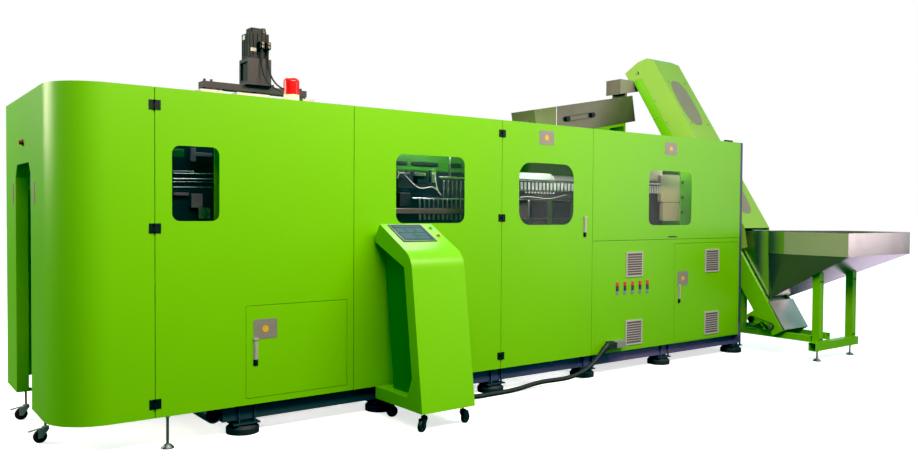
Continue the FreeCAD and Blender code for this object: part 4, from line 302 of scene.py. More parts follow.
def bare_plate(name, body, x0, x1, z0, z1):
    """A 2 mm plate on the front face with its disc, a millimetre thick, on the middle of the plate."""
    x, z = (x0 + x1) / 2, (z0 + z1) / 2
    coat = finish(name + "_anodised", PLATE_GREY,
                  [(AMBER, [((x - DISC - DISC_ROOM, -5, z - DISC - DISC_ROOM),
                             (x + DISC + DISC_ROOM, -2.05, z + DISC + DISC_ROOM))])],
                  cloud=(60, 0.05), grain=(4, 0.02))
    disc = turned((x, -2.0, z), (x, -3.0, z), [(0, DISC), (0.6, DISC), (1, DISC - 0.5)])
    piece(name, coat, [block((x0, -2.0, z0), (x1, 0.0, z1), square=12, edge=0.4), disc], body)


bare_plate("feed_panel_plate", "machine", 4930, 5095, 1882, 1993)
piece("feed_panel_catch", finish("black_catch", BLACK_CASTING, cloud=(30, 0.1), grain=(4, 0.04)),
      [block((4990, -4, 1149), (5104, 0, 1159), square=12, edge=0.5)])

# Roof sheets in the same coat, with black plastic cable glands in their right end and under the servo leads.
ROOF_GLANDS = ((1400, 20, 2050.4), (6100, 1000, 2090))
dress(coated("green_roof_black_glands", [(BLACK_CASTING, [ROOF_GLANDS])]), "roof_panels")

# ---------------------------------------------------------------- end doors
# Folded round the corner from one sheet. A black door switch sits in the bottle outlet and a red latch knob
# above it; each door carries a bare, brownish plate beside the outlet and a zinc-plated caster with a dark
# red-brown wheel.
NEAR_DOOR_HINGES = ((400, -40, 150), (600, -0.6, 2049))
FAR_DOOR_HINGES = ((400, 1800.6, 150), (600, 1840, 2049))
OUTLET_SWITCH = ((3.5, 635.5, 1390), (51, 690, 1562))
LATCH_KNOB = ((-30, 840, 1730), (-0.4, 910, 1800))
door_green = coated("green_door_black_fittings", [
    (BLACK_CASTING, [NEAR_DOOR_HINGES, FAR_DOOR_HINGES, OUTLET_SWITCH]),
    (("#8A2218", 0.2, 0.4), [LATCH_KNOB])])
dress(door_green, "near_end_door", "far_end_door")
brownish = finish("end_plate_anodised", ("#8E7F74", 0.2, 0.45), cloud=(60, 0.08), grain=(4, 0.02))
END_PLATE_WIDTH, END_PLATE_HEIGHT = 50, 130
for side, y, z in (("near_end", 502, 1390), ("far_end", 1245, 1400)):
    piece(side + "_plate", brownish,
          [block((-2, y, z), (0, y + END_PLATE_WIDTH, z + END_PLATE_HEIGHT), along=0, square=12, edge=0.4)],
          side + "_door")
fork = finish("zinc_plated_fork", ("#B2B2AE", 0.4, 0.4), cloud=(40, 0.1), grain=(4, 0.04))
tread = finish("caster_tread", ("#54261E", 0.0, 0.45), cloud=(30, 0.15), grain=(4, 0.06))
dress(fork, "near_caster_fork", "far_caster_fork")
dress(tread, "near_caster_wheel", "far_caster_wheel")

# ---------------------------------------------------------------- windows
# Polycarbonate sheets, five millimetres thick, lightly smoked and polished. They lie against the inside of
# the panels, a lap larger than the openings with round corners that they close.
PANE_ALPHA, POLYCARBONATE_IOR = 0.14, 1.58
pane = finish("smoked_polycarbonate", ("#070A08", 0.0, 0.05), cloud=(300, 0.02), grain=(200, 0.0),
              **{"Alpha": PANE_ALPHA, "IOR": POLYCARBONATE_IOR})
dress(pane, "window_panes", "window_door_pane")

# ---------------------------------------------------------------- front doors
# Hinged leaves in the same coat. Swing handles: a satin die-cast lever in a dish of the same casting, and the
# dish's lower end is black plastic. Each leaf carries a bare plate.
SATIN = ("#B4B4B0", 0.3, 0.35)
DISH_WIDTH = 40
# Each handle's left edge, and the heights of its dish's foot, of the black end's top and of the dish's top.
HANDLES = ((1094, 420, 462, 596), (3910, 1160, 1204, 1338), (5128, 548, 590, 724))
DISHES = [((x, -30, foot), (x + DISH_WIDTH, -0.4, top)) for x, foot, end, top in HANDLES]
DISH_ENDS = [((x, -30, foot), (x + DISH_WIDTH, -0.4, end)) for x, foot, end, top in HANDLES]
LEVERS = [(SATIN, DISHES), (BLACK_CASTING, DISH_ENDS)]
WINDOW_DOOR_HINGES = ((3040, -40, 150), (3100, -0.6, 2049))
leaf = coated("green_leaf_satin_dishes", LEVERS + [(BLACK_CASTING, [WINDOW_DOOR_HINGES])])
dress(leaf, "window_door", "access_door")
satin = finish("satin_die_casting", SATIN, [(BLACK_CASTING, DISH_ENDS)], cloud=(40, 0.05), grain=(3, 0.02))
dress(satin, "access_handle", "window_door_handle", "cabinet_handle")
bare_plate("access_door_plate", "access_door", 1100, 1254, 582, 704)
bare_plate("window_door_plate", "window_door", 3424, 3579, 1889, 2000)

# ---------------------------------------------------------------- electrical cabinet
# The same green sheet. Light grey plastic grilles with painted shade behind their slats, rocker switches with
# a red lamp over a black rocker and a grey-blue foot, and a heavy connector, grey with a black hood.
# Painted shade: the dark grey behind the slats stands in for the shade in their gaps.
GRILLE, SLAT_SHADE = ("#B0AAAD", 0.0, 0.5), ("#5A5658", 0.0, 0.8)
GRILLE_SIDE, GRILLE_RIM, GRILLE_FEET = 214, 13, (232, 816)


def shade_behind_slats(x):
    """Boxes of the painted shade inside the rims of two grilles, one over the other, whose left edge is at x.
    """
    near, far = GRILLE_RIM, GRILLE_SIDE - GRILLE_RIM
    return [((x + near, -3.4, z + near), (x + far, -2.4, z + far)) for z in GRILLE_FEET]


def switch_row(low, high):
    """A box along the row of switches, between two heights."""
    return [((4290, -20, low), (4740, -5.9, high))]


DOOR_GRILLES = ((5510, -30, 220), (5750, -0.4, 1040))
MOUNTING_PLATE = ((4100, 290, 320), (6060, 380, 1100))
CONNECTOR_HOOD = ((4060, -80, 180), (4262, 2, 300))
CONNECTOR = ((4262, -80, 180), (4400, 2, 300))
dress(coated("green_leaf_grey_grilles", LEVERS + [(GRILLE, [DOOR_GRILLES]), (SLAT_SHADE, shade_behind_slats(5520))]),
      "cabinet_door")
dress(coated("green_cabinet_grey_inside", [(("#8E9296", 0.2, 0.45), [MOUNTING_PLATE])]), "cabinet_shell")
dress(finish("cabinet_fittings", GRILLE, [
    (SLAT_SHADE, shade_behind_slats(4430)), (("#1A1B1E", 0.0, 0.4), switch_row(703, 745)),
    (("#D0321C", 0.0, 0.35), switch_row(745, 785)), (("#6F8593", 0.0, 0.5), switch_row(665, 703)),
    (("#1B1C1E", 0.0, 0.5), [CONNECTOR_HOOD]), (("#8D8F92", 0.3, 0.45), [CONNECTOR])],
    cloud=(200, 0.05), grain=(5, 0.05)), "cabinet_fittings")
bare_plate("cabinet_door_plate", "cabinet_door", 5123, 5277, 708, 838)

# ---------------------------------------------------------------- the console's lead
# A thick black rubber-sheathed lead with power and signals, from the flanged connector on the cabinet along
# the floor to the console. Where it enters each gland, a ribbed, tapering strain relief of the same rubber
# takes its bend.
sheath = finish("rubber_sheath", ("#1B1B1D", 0.0, 0.62), cloud=(90, 0.2), grain=(6, 0.1))
SPLINE_ORDER, SPLINE_STEPS, ROUND_STEPS = 3, 12, 6
RELIEF_RINGS, RELIEF_WIDE, RELIEF_TAPER, RELIEF_RIB = 21, 1.35, 0.27, 0.06


def lead(name, node, points, thick):
    """A cable along its solid's route points: one open B-spline of order 3, from the first to the last."""
    curve = bpy.data.curves.new(name, "CURVE")
    curve.dimensions = "3D"
    line = curve.splines.new("NURBS")
    route = np.array([at(*p) for p in points])
    line.points.add(len(route) - 1)
    line.points.foreach_set("co", np.c_[route, np.ones(len(route))].ravel())
    line.order_u = SPLINE_ORDER
    line.use_endpoint_u = True
    line.resolution_u = SPLINE_STEPS
    curve.bevel_depth = thick / 2 / PER_METRE
    curve.bevel_resolution = ROUND_STEPS
    curve.use_fill_caps = True
    curve.materials.append(sheath)
    made = bpy.data.objects.new(name, curve)
    bpy.context.scene.collection.objects.link(made)
    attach(made, "machine")
    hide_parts(node)


def relief(name, end, toward, radius, length):
    """A strain relief on a cable's end: five ribs on a cone, 1.35 to 1.08 times the cable's radius."""
    end, toward = np.array(end, float), np.array(toward, float)
    tip = end + (toward - end) / np.linalg.norm(toward - end) * length
    shares = np.linspace(0, 1, RELIEF_RINGS)
    ribs = RELIEF_RIB * (np.arange(RELIEF_RINGS) % 4 < 2)
    radii = radius * (RELIEF_WIDE - RELIEF_TAPER * shares + ribs * (1 - shares))
    piece(name, sheath, [turned(end, tip, np.c_[shares, radii])])


CONSOLE_ROUTE = [(4130, -45, 238), (4068, -45, 188), (4005, -44, 134), (3925, -40, 90), (3825, -34, 58),
                 (3705, -30, 42), (3580, -27, 43), (3455, -26, 46), (3340, -28, 38), (3225, -34, 26),
                 (3090, -38, 19), (2940, -34, 18.5), (2790, -46, 20), (2660, -72, 44), (2550, -102, 90),
                 (2460, -126, 136), (2366, -138, 156)]
LEAD_THICK, LEAD_LENGTH = 36.0, 1853
lead("console_lead", "console_cable", CONSOLE_ROUTE, LEAD_THICK)
relief("console_lead_relief", CONSOLE_ROUTE[-1], CONSOLE_ROUTE[-2], LEAD_THICK / 2, 50.0)
relief("cabinet_lead_relief", CONSOLE_ROUTE[0], CONSOLE_ROUTE[1], LEAD_THICK / 2, 55.0)

# ---------------------------------------------------------------- stretch drive on the roof
# A cross-beam and housing, welded and painted dark grey, over ground steel bars round the roof's opening;
# light grey aluminium plates stand on blocks along the front bar, and the columns below are polished.
BASE_BARS = ((900, 500, 2040), (2100, 1300, 2078.4))
FRONT_PLATES = ((900, 540, 2078.4), (2100, 705, 2151))
COLUMNS = ((1100, 600, 1400), (1900, 1200, 2049))
# Painted shade: the gap in the housing is painted near black.
HOUSING_GAP_SHADE = ((1390, 835, 2280), (1420.2, 965, 2420))
dress(finish("dark_grey_housing", ("#3A363C", 0.1, 0.45), [
    (("#77787C", 0.6, 0.4), [BASE_BARS]), (("#B9B5B8", 0.6, 0.4), [FRONT_PLATES]),
    (("#9A9C9E", 1.0, 0.3), [COLUMNS]), (("#0B0B0C", 0.0, 0.6), [HOUSING_GAP_SHADE])],
    cloud=(300, 0.08), grain=(10, 0.1), **SHINE), "stretch_crossbeam")

# The servo motor: black enamel on ribbed castings, with satin connectors on its front and two bare, light
# plates.
CONNECTORS = ((1470, 780, 2495), (1570, 824.6, 2565))
dress(finish("black_motor_enamel", ("#0D0C0F", 0.0, 0.42), [(("#1E1C1B", 0.4, 0.4), [CONNECTORS])],
             cloud=(120, 0.1), grain=(5, 0.06), **{"Specular IOR Level": 0.25}), "servo_motor")
STRETCH_X, MOTOR_FRONT, MOTOR_BASE = 1490.0, 825.0, 2440.0
bare_white = finish("bare_white_film", ("#DAD8D6", 0.0, 0.4), cloud=(30, 0.04), grain=(3, 0.01))
piece("motor_side_plate", bare_white,
      [block((1414, 905, MOTOR_BASE + 140), (1415, 947, MOTOR_BASE + 172), along=0, square=10, edge=0.3)])
bare_silver = finish("bare_silver_film", ("#8F8F90", 0.4, 0.4), cloud=(30, 0.05), grain=(3, 0.01))
piece("motor_front_plate", bare_silver,
      [block((1424, MOTOR_FRONT - 1, MOTOR_BASE + 48), (1466, MOTOR_FRONT, MOTOR_BASE + 74),
             square=10, edge=0.3)])
NUT = [(0, 12), (0.7, 12), (1, 9)]
PLUG = [(0, 19), (0.25, 22), (0.4, 22), (0.5, 19), (0.8, 19), (1, 14)]
connector_nuts = [turned((x, 787, MOTOR_BASE + z), (x, 777, MOTOR_BASE + z), NUT, count=12)
                  for x in (STRETCH_X + 6, STRETCH_X + 54) for z in (80, 104)]
top_plug = turned((1532, 858, MOTOR_BASE + 180), (1532, 858, MOTOR_BASE + 224), PLUG)
dull_plated = finish("dull_plated_nuts", ("#5E5B50", 1.0, 0.4), cloud=(20, 0.15), grain=(2, 0.02))
piece("motor_connector_nuts", dull_plated, connector_nuts + [top_plug])

# The motor's two thin leads: each goes out to the front in an upright plane of its own and down into a roof
# gland. The points are the way out from the connector, then the height.
SERVO_DROP = np.array([(0, 2500), (0, 2440), (7, 2381), (24, 2324), (58, 2272), (108, 2233), (168, 2208),
                       (230, 2186), (282, 2150), (306, 2106), (306, 2064)], float)
SERVO_FRONT, SERVO_THICK, SERVO_LENGTH = 803, 12.0, 587
for label, x, heading in (("signal", 1496.0, 14.0), ("power", 1544.0, 27.0)):
    a = math.radians(heading)
    way_out, height = SERVO_DROP.T
    drop = np.c_[x + way_out * math.sin(a), SERVO_FRONT - way_out * math.cos(a), height]
    lead("servo_%s_lead" % label, "servo_%s_cable" % label, drop, SERVO_THICK)
    relief("servo_%s_relief" % label, drop[0], drop[1], SERVO_THICK / 2, 30.0)
    relief("roof_%s_relief" % label, drop[-1], drop[-2], SERVO_THICK / 2, 26.0)

# ---------------------------------------------------------------- beacon
# An injection-moulded cream base, screwed to the roof, and a glossy red acrylic dome over its lamp. The base
# is a little duller than the dome.
DOME = ((1350, 80, 2102.6), (1480, 220, 2220))
dress(finish("beacon_red_and_cream", ("#E9E6DC", 0.0, 0.4), [(("#D80804", 0.0, 0.2), [DOME])],
             cloud=(60, 0.03), grain=(4, 0.02)), "beacon")

# ---------------------------------------------------------------- blow, transfer and oven stations
# Turned and ground steel, dark machine enamel on the clamp, bare aluminium moulds, a white oven housing over
# dark heater modules: all of it shows only through the windows and the outlet.
MOULD_BACKS = [((1000, 200, 500), (2000, 681, 1430)), ((1000, 1119, 500), (2000, 1600, 1430))]
OVEN_TABLE = ((3100, 400, 200), (5500, 1400, 1000.4))
steel = finish("machined_steel", ("#A9ACAF", 1.0, 0.32), cloud=(200, 0.08), grain=(4, 0.04))
dress(steel, "stretch_carriage", "transfer_carriage", "preform_transport", "elevator_head_roller",
      "elevator_foot_roller", "unscrambler_front_roller", "unscrambler_rear_roller")
dress(finish("clamp_dark_enamel", ("#1B1E21", 0.0, 0.4), cloud=(200, 0.1), grain=(8, 0.08)),
      "blow_clamp_frame")
dress(finish("mould_aluminium", ("#C3C6C8", 1.0, 0.3), [(("#2B3035", 0.2, 0.4), MOULD_BACKS)],
             cloud=(200, 0.06), grain=(6, 0.05)), "front_platen", "rear_platen")
dress(finish("oven_white_enamel", ("#F1EFEA", 0.0, 0.28), [(("#4B4A50", 0.4, 0.4), [OVEN_TABLE])],
             cloud=(400, 0.03), grain=(12, 0.05)), "oven_body")
heater = finish("heater_module_dark", ("#3A3440", 0.4, 0.4), cloud=(150, 0.2), grain=(8, 0.1))
dress(heater, "heater_modules")


# ---------------------------------------------------------------- behind the windows
# What shows close behind the panes: enamelled guards and covers, dark screens of painted shade, bright steel
# rods and rails, white polyamide pipes, preform grippers and heater reflectors. They stand on the station
# frames, clear of all that moves.
def through(window, right, down, deep):
    """Where a sight line lands at a depth behind the front. It enters the window at shares of its width and
    height, and from the eye every distance grows by 1 + depth / the eye's own distance."""
    x0, x1, z0, z1 = window
    spread = 1 - deep / EYE[1]
    return np.array([EYE[0] + (x0 + (x1 - x0) * right - EYE[0]) * spread, deep,
                     EYE[2] + (z1 - (z1 - z0) * down - EYE[2]) * spread])


def slab(window, right, down, deep, thick=12.0):
    """A plate square to the depth that fills shares (from, to) of the window, from its left and its top."""
    low, high = through(window, right[0], down[1], deep), through(window, right[1], down[0], deep)
    return block(low, high + (0, thick, 0), square=14, count=40)


def bar(window, start, end, deep, radius):
    """A round bar between two places in the window, with its ends broken by a short cone."""
    return turned(through(window, *start, deep), through(window, *end, deep),
                  [(0, radius * 0.8), (0.02, radius), (0.98, radius), (1, radius * 0.8)], count=16)


PIPE_STEPS, PIPE_ROUND = 41, 12


def pipe(window, rights, downs, deep, radius):
    """A rigid pipe: circles square to a smooth line through the given places, at 41 steps along it."""
    shares = np.linspace(0, len(rights) - 1, PIPE_STEPS)
    fits = [np.polyfit(np.arange(len(rights)), values, len(rights) - 1) for values in (rights, downs)]
    line = np.array([through(window, np.polyval(fits[0], s), np.polyval(fits[1], s), deep) for s in shares])
    way = np.gradient(line, axis=0)
    way /= np.linalg.norm(way, axis=1)[:, None]
    side = np.cross(way, (0.0, 1.0, 0.0))
    t = np.arange(PIPE_ROUND) * 2 * np.pi / PIPE_ROUND
    return line[:, None] + radius * (np.cos(t)[None, :, None] * side[:, None] +
                                     np.sin(t)[None, :, None] * np.array((0.0, 1.0, 0.0)))


# Windows as left, right, lower and upper edge. In what follows, places are shares of a window, then the
# depth.
BLOW, TRANSFER = (615, 890, 1300, 1730), (2115, 2700, 1283, 1755)
OVEN, FEED = (3220, 3800, 1265, 1745), (4720, 5310, 1257, 1738)
bright = finish("bright_steel_rods", ("#C4C7CA", 1.0, 0.28), cloud=(60, 0.06), grain=(5, 0.03))
white_tube = finish("white_polyamide_tube", ("#E6E8E6", 0.0, 0.4), cloud=(60, 0.04), grain=(5, 0.02))
guard_green = finish("guard_green_enamel", ("#2F6A1C", 0.0, 0.4), cloud=(120, 0.1), grain=(8, 0.06))
slate = finish("slate_enamel_and_painted_shade", ("#1B2026", 0.1, 0.42), cloud=(60, 0.2), grain=(6, 0.06))
plum = finish("guard_plum_grey", ("#6E6776", 0.2, 0.42), cloud=(90, 0.15), grain=(8, 0.06))
cream = finish("cream_guard_enamel", ("#B7B294", 0.0, 0.38), cloud=(200, 0.05), grain=(10, 0.05))

# Blow station: a dark screen of painted shade behind it all, thin rods one over another, a green guard and
# post, and grey valve blocks.
piece("blow_bay_shade_screen", slate, [slab(BLOW, (-0.06, 0.9), (-0.06, 1.06), 300)])
VALVE_RODS = ((0.36, 3), (0.43, 4), (0.47, 2), (0.54, 2))       # share of the window's height, radius
piece("blow_bay_rods", bright,
      [bar(BLOW, (0.02, d + 0.01), (0.88, d), 250, r) for d, r in VALVE_RODS] +
      [slab(BLOW, (0.02, 0.45), (0.33, 0.345), 262), slab(BLOW, (0.55, 0.8), (0.82, 0.97), 262)])
piece("blow_bay_guard", guard_green, [slab(BLOW, (0.02, 0.25), (0.05, 0.15), 240)])
piece("blow_bay_post", green, [slab(BLOW, (0.89, 1.06), (-0.05, 1.05), 140)])
piece("blow_bay_valves", plum,
      [slab(BLOW, (0.4, 0.64), (0.63, 0.82), 262, 30), slab(BLOW, (0.05, 0.35), (0.62, 0.66), 262, 30),
       slab(BLOW, (0.5, 0.85), (0.08, 0.13), 262, 30), slab(BLOW, (0.4, 0.5), (0.02, 0.2), 262, 30)])

# Transfer station: a green guard with its slots laid on as dark strips of painted shade, over a dark screen
# of painted shade, a row of gripper tips over closer rods, and two pipes.
TIPS, RODS = np.linspace(0.68, 1.0, 6), np.linspace(0.33, 1.0, 11)
piece("transfer_shade_screen", slate, [slab(TRANSFER, (-0.06, 1.06), (0.24, 1.06), 425)])
piece("transfer_guard", guard_green, [slab(TRANSFER, (-0.06, 1.06), (-0.06, 0.235), 425)])
SLOTS = ((-0.02, 0.16), (0.22, 0.6), (0.76, 0.95))
# Painted shade: the guard's slots are dark strips laid on its face; the three thick slabs are slate blocks.
piece("transfer_slot_shades_and_blocks", slate,
      [slab(TRANSFER, slot, (0.1, 0.155), 415, 9) for slot in SLOTS] +
      [slab(TRANSFER, (0.02, 0.22), (0.34, 0.5), 300, 60), slab(TRANSFER, (0.05, 0.2), (0.56, 0.76), 290, 60),
       slab(TRANSFER, (0.3, 0.46), (0.3, 0.42), 300, 60)])
ROWS = ((TIPS, 0.36, 0.5, 210, 7), (TIPS, 0.5, 0.62, 212, 3.5),
        (RODS, 0.64, 0.77, 205, 6), (RODS, 0.87, 0.95, 205, 11))
piece("transfer_rods", bright,
      [bar(TRANSFER, (s, top), (s, foot), deep, r) for row, top, foot, deep, r in ROWS for s in row] +
      [slab(TRANSFER, (0.62, 1.04), (0.3, 0.33), 230, 20), bar(TRANSFER, (0.77, -0.02), (0.77, 0.32), 240, 7),
       slab(TRANSFER, (0.24, 1.04), (0.625, 0.645), 205, 20),
       slab(TRANSFER, (0.03, 0.2), (0.26, 0.29), 290, 30),
       slab(TRANSFER, (0.27, 0.42), (0.26, 0.31), 290, 30), slab(TRANSFER, (0.5, 0.57), (0.2, 0.4), 290, 30)])
piece("transfer_rail", finish("rail_brown_grey", ("#6B6460", 0.4, 0.4), cloud=(120, 0.12), grain=(8, 0.06)),
      [slab(TRANSFER, (-0.04, 1.04), (0.785, 0.86), 190, 40)])
piece("transfer_pipes", white_tube,
      [pipe(TRANSFER, (0.02, 0.14, 0.3, 0.45, 0.64), (0.36, 0.32, 0.47, 0.47, 0.58), 225, 3),
       pipe(TRANSFER, (0.5, 0.55, 0.57, 0.62), (0.26, 0.3, 0.42, 0.56), 222, 3)])

# Oven: a white cover, two rows of white preform grippers between bright rails, a pipe, and dark reflectors
# below.
piece("oven_bay_screen", plum, [slab(OVEN, (-0.06, 1.06), (0.27, 1.06), 352)])
piece("oven_bay_cover", white_tube,
      [slab(OVEN, (-0.03, 0.58), (0.165, 0.265), 330, 20), slab(OVEN, (0.55, 0.63), (0.2, 0.265), 330, 20)])
piece("oven_bay_grippers", white_tube,
      [bar(OVEN, (s, 0.315), (s, 0.435), 300, 10) for s in np.linspace(0.04, 0.98, 15)] +
      [bar(OVEN, (s, 0.465), (s, 0.49), 300, 7) for s in np.linspace(0.12, 0.62, 10)])
piece("oven_bay_rails", bright,
      [slab(OVEN, (-0.04, 1.05), (0.28, 0.297), 300, 30), slab(OVEN, (-0.04, 1.05), (0.445, 0.455), 300, 30),
       slab(OVEN, (-0.04, 1.05), (0.585, 0.6), 305, 30), bar(OVEN, (0.17, 0.6), (0.17, 1.02), 292, 8),
       slab(OVEN, (0.53, 0.6), (0.6, 1.02), 305, 20), slab(OVEN, (0.08, 0.95), (0.89, 0.9), 305, 20)])
piece("oven_bay_pipe", white_tube,
      [pipe(OVEN, (0.02, 0.2, 0.36, 0.52, 0.68, 0.86), (0.56, 0.545, 0.56, 0.57, 0.545, 0.5), 285, 3)])
piece("oven_bay_reflectors", heater,
      [slab(OVEN, (0.22, 0.5), (0.62, 0.88), 325, 20), slab(OVEN, (0.64, 0.94), (0.62, 0.88), 325, 20)])

# Feed end: cream guards on a green frame with black screws, and a few preforms at the left on their rail.
piece("feed_bay_guard", cream,
      [slab(FEED, (0.27, 0.72), (0.07, 0.575), 200, 40), slab(FEED, (0.32, 0.72), (0.585, 0.92), 200, 40),
       slab(FEED, (-0.06, 0.3), (-0.06, 0.2), 260, 20)])
piece("feed_bay_rods", white_tube,
      [bar(FEED, (s, 0.28), (s, 0.42), 210, 8) for s in np.linspace(0.02, 0.24, 5)] +
      [slab(FEED, (-0.04, 0.28), (0.23, 0.26), 205, 30)])
piece("feed_bay_cover", heater, [slab(FEED, (-0.06, 0.3), (0.2, 1.05), 262, 20)])
piece("feed_bay_frame", green, [slab(FEED, (0.735, 1.06), (-0.06, 1.06), 190, 20)])
black_oxide = finish("black_oxide_screws", ("#17181A", 0.8, 0.4), cloud=(10, 0.1), grain=(2, 0.02))
piece("feed_bay_screws", black_oxide,
      [turned(through(FEED, 0.78, d, 190), through(FEED, 0.78, d, 178),
              [(0, 12), (0.7, 12), (1, 8)], count=16) for d in (0.2, 0.48, 0.76)])

# ---------------------------------------------------------------- elevator
# Green coated side plates and a cover in a slightly paler green, a green polyurethane cleated belt, and
# oblong windows of grey-beige film. Plated screws hold the cover. The drives here and on the unscrambler are
# grey with black belts.
SLOPE = 57.3
WINDOW_HALF = 302
PANES = [((6294, y - WINDOW_HALF, z - 2.7), (6462, y + WINDOW_HALF, z + 2.7), SLOPE)
         for y, z in ((889.6, 2552.1), (288.7, 1616.0))]
DRIVE_BELTS = [((4949.5, 1300, 2000), (6160, 1400.5, 2700)), ((6100, -1200, 100), (6196, 1200, 2000))]
PALER_COAT = ("#8CB846", 0.0, 0.34)
dress(coated("green_elevator_cover", [(("#857F6C", 0.0, 0.35), PANES)], PALER_COAT), "elevator_cover")
dress(green, "elevator_frame")
dress(finish("belt_polyurethane", ("#2F6B3A", 0.0, 0.45), cloud=(200, 0.06), grain=(4, 0.05)),
      "elevator_belt")
dress(finish("drive_grey_enamel", ("#77797B", 0.3, 0.45), [(("#171516", 0.3, 0.5), DRIVE_BELTS)],
             cloud=(90, 0.08), grain=(6, 0.08)), "elevator_drive", "unscrambler_drive")
COVER_FACE, COVER_MIDDLE = (0.0, 620.0, 2140.0), 6380     # a point of the cover's upper face; its middle in x
HEAD_PROFILE = [(0, 9), (0.5, 9), (1, 6)]
screws = finish("plated_screws", ("#8E9088", 1.0, 0.35), cloud=(20, 0.1), grain=(2, 0.02))
tops = [leaned(turned((6408 + x, s, 0), (6408 + x, s, 3.5), HEAD_PROFILE, count=12), COVER_FACE, SLOPE)
        for s in (779, 211) for x in (-140, 140)]
sides = [leaned(turned((6198, s, n), (6194, s, n), HEAD_PROFILE, count=12), COVER_FACE, SLOPE)
         for s, n in ((676, -213), (378, -213), (510, -325), (503, -285))]
piece("elevator_screws", screws, tops + sides)
film = [leaned(block((COVER_MIDDLE - 130, s - 300, 0.0), (COVER_MIDDLE + 130, s + 300, 1.5),
                     along=2, square=2.8, edge=0.5, count=64), COVER_FACE, SLOPE) for s in (492.5, -620.0)]
beige_film = finish("grey_beige_window_sheet", ("#857F6C", 0.0, 0.3), cloud=(200, 0.05), grain=(9, 0.02))
piece("elevator_windows", beige_film, film)

# ---------------------------------------------------------------- hopper and its stand
# Brushed stainless sheet, welded at its corners, on a green coated square-tube stand. Its left cone is
# painted darker, a painted reflection of the shaded floor under it, and its rim band there paler, a painted
# reflection of the bright room. Black bolts hold the stand's legs.
LEFT_CONE_DARK_REFLECTION = ((6190, -1006, 530), (6257.5, -200, 985.3))
LEFT_BAND_PALE_REFLECTION = ((6190, -1004, 985.3), (6203, -200, 1200))
dress(finish("brushed_stainless", ("#CFC8C6", 1.0, 0.25), [
    (("#6E6870", 0.8, 0.25), [LEFT_CONE_DARK_REFLECTION]), (("#B4B3A4", 0.5, 0.32), [LEFT_BAND_PALE_REFLECTION])],
    cloud=(500, 0.08), grain=(90, 0.01), stretch=(1, 1, 0.2)), "hopper_bin")
dress(green, "hopper_frame")
LEG_FACE = -700.0
bolts = [turned((x, LEG_FACE, z), (x, LEG_FACE - 4, z), HEAD_PROFILE, count=12)
         for x in (6303, 6337, 6903, 6937) for z in (205, 740)]
piece("stand_bolts", finish("black_oxide_bolts", ("#17181A", 0.6, 0.45), cloud=(10, 0.1), grain=(2, 0.02)),
      bolts)

# ---------------------------------------------------------------- unscrambler
# A trough of brushed stainless sheet, folded and welded. Its left end is a dull metallic green, a bright seam
# strip follows, the top of the chute over its right end is painted paler as painted light, and a row of
# plated screws runs along its rim.
LEFT_END = ((4500, 1398.6, 2000), (4941, 1800, 2560))
SEAM_STRIP = ((4941, 1380, 2000), (4949, 1401, 2560))
# Painted light: the top of the chute is painted paler and less metallic.
CHUTE_TOP_PAINTED_LIGHT = ((5990, 1000, 2668), (6700, 1500, 3100))
dress(finish("trough_stainless", ("#6E6A5C", 0.7, 0.38), [
    (("#6E7A4C", 0.6, 0.4), [LEFT_END]), (("#CFCFCB", 0.6, 0.3), [SEAM_STRIP]),
    (("#A79CA1", 0.3, 0.4), [CHUTE_TOP_PAINTED_LIGHT])],
    cloud=(400, 0.15), grain=(90, 0.01), stretch=(0.2, 1, 1)), "unscrambler_trough")
TROUGH_CORNER, TROUGH_SLOPE = (4635.0, 1400.0, 2390.0), 10.6
rim_screws = [leaned(turned((x, 0, -14), (x, -3, -14), HEAD_PROFILE, count=12),
                     TROUGH_CORNER, TROUGH_SLOPE, axis=1) for x in range(90, 1400, 200)]
piece("trough_screws", screws, rim_screws)

# ---------------------------------------------------------------- console
# Folded sheet with the same coat outside; in its recesses the coat is painted darker, as painted shade.
# A touch screen in a black bezel is let into its slanted top, with two buttons beside it, and it rolls on
# four black casters.
RECESS_SHADE_GREEN = ("#2A7A00", 0.0, 0.42)
RECESSES = [((x, y, z0), (x + 3.5, -10, z1)) for x in (2008.5, 2278)
            for y, z0, z1 in ((-442, 200, 1070), (-250, 1069, 1150))]
dress(coated("green_console_painted_recess_shade", [(RECESS_SHADE_GREEN, RECESSES)]), "console_body")
dress(finish("screen_bezel_black", ("#0E1013", 0.0, 0.4), cloud=(80, 0.1), grain=(3, 0.02)), "console_screen")
dress(finish("button_green", ("#20A040", 0.0, 0.3), cloud=(20, 0.05), grain=(2, 0.02)), "start_button")
dress(finish("button_red", ("#D02A1C", 0.0, 0.3), cloud=(20, 0.05), grain=(2, 0.02)), "stop_button")
black_cast = finish("caster_black", ("#17171A", 0.0, 0.45), cloud=(30, 0.15), grain=(4, 0.05))
for k in range(1, 5):
    dress(black_cast, "console_caster_%d" % k, "console_wheel_%d" % k)

# The screen is plain: a matt slate sheet with seven paler fields, each given as left, right, and the upper
# and lower edge down the slope.
HEAD_TOP, HEAD_SLOPE = (1940.0, -78.0, 1279.0), 27.67
SCREEN = (66, 296, 30, 226)
FIELDS = ((78, 284, 38, 52), (78, 140, 62, 120), (150, 212, 62, 120), (222, 284, 62, 120),
          (78, 180, 132, 208), (190, 284, 132, 165), (190, 284, 175, 208))
MATT = {"Specular IOR Level": 0.05}


def on_screen(x0, x1, a0, a1, foot, top, edge):
    """A thin sheet on the console's slanted face, between two heights over it."""
    return leaned(block((x0, -a1, foot), (x1, -a0, top), along=2, square=24, edge=edge), HEAD_TOP, HEAD_SLOPE)


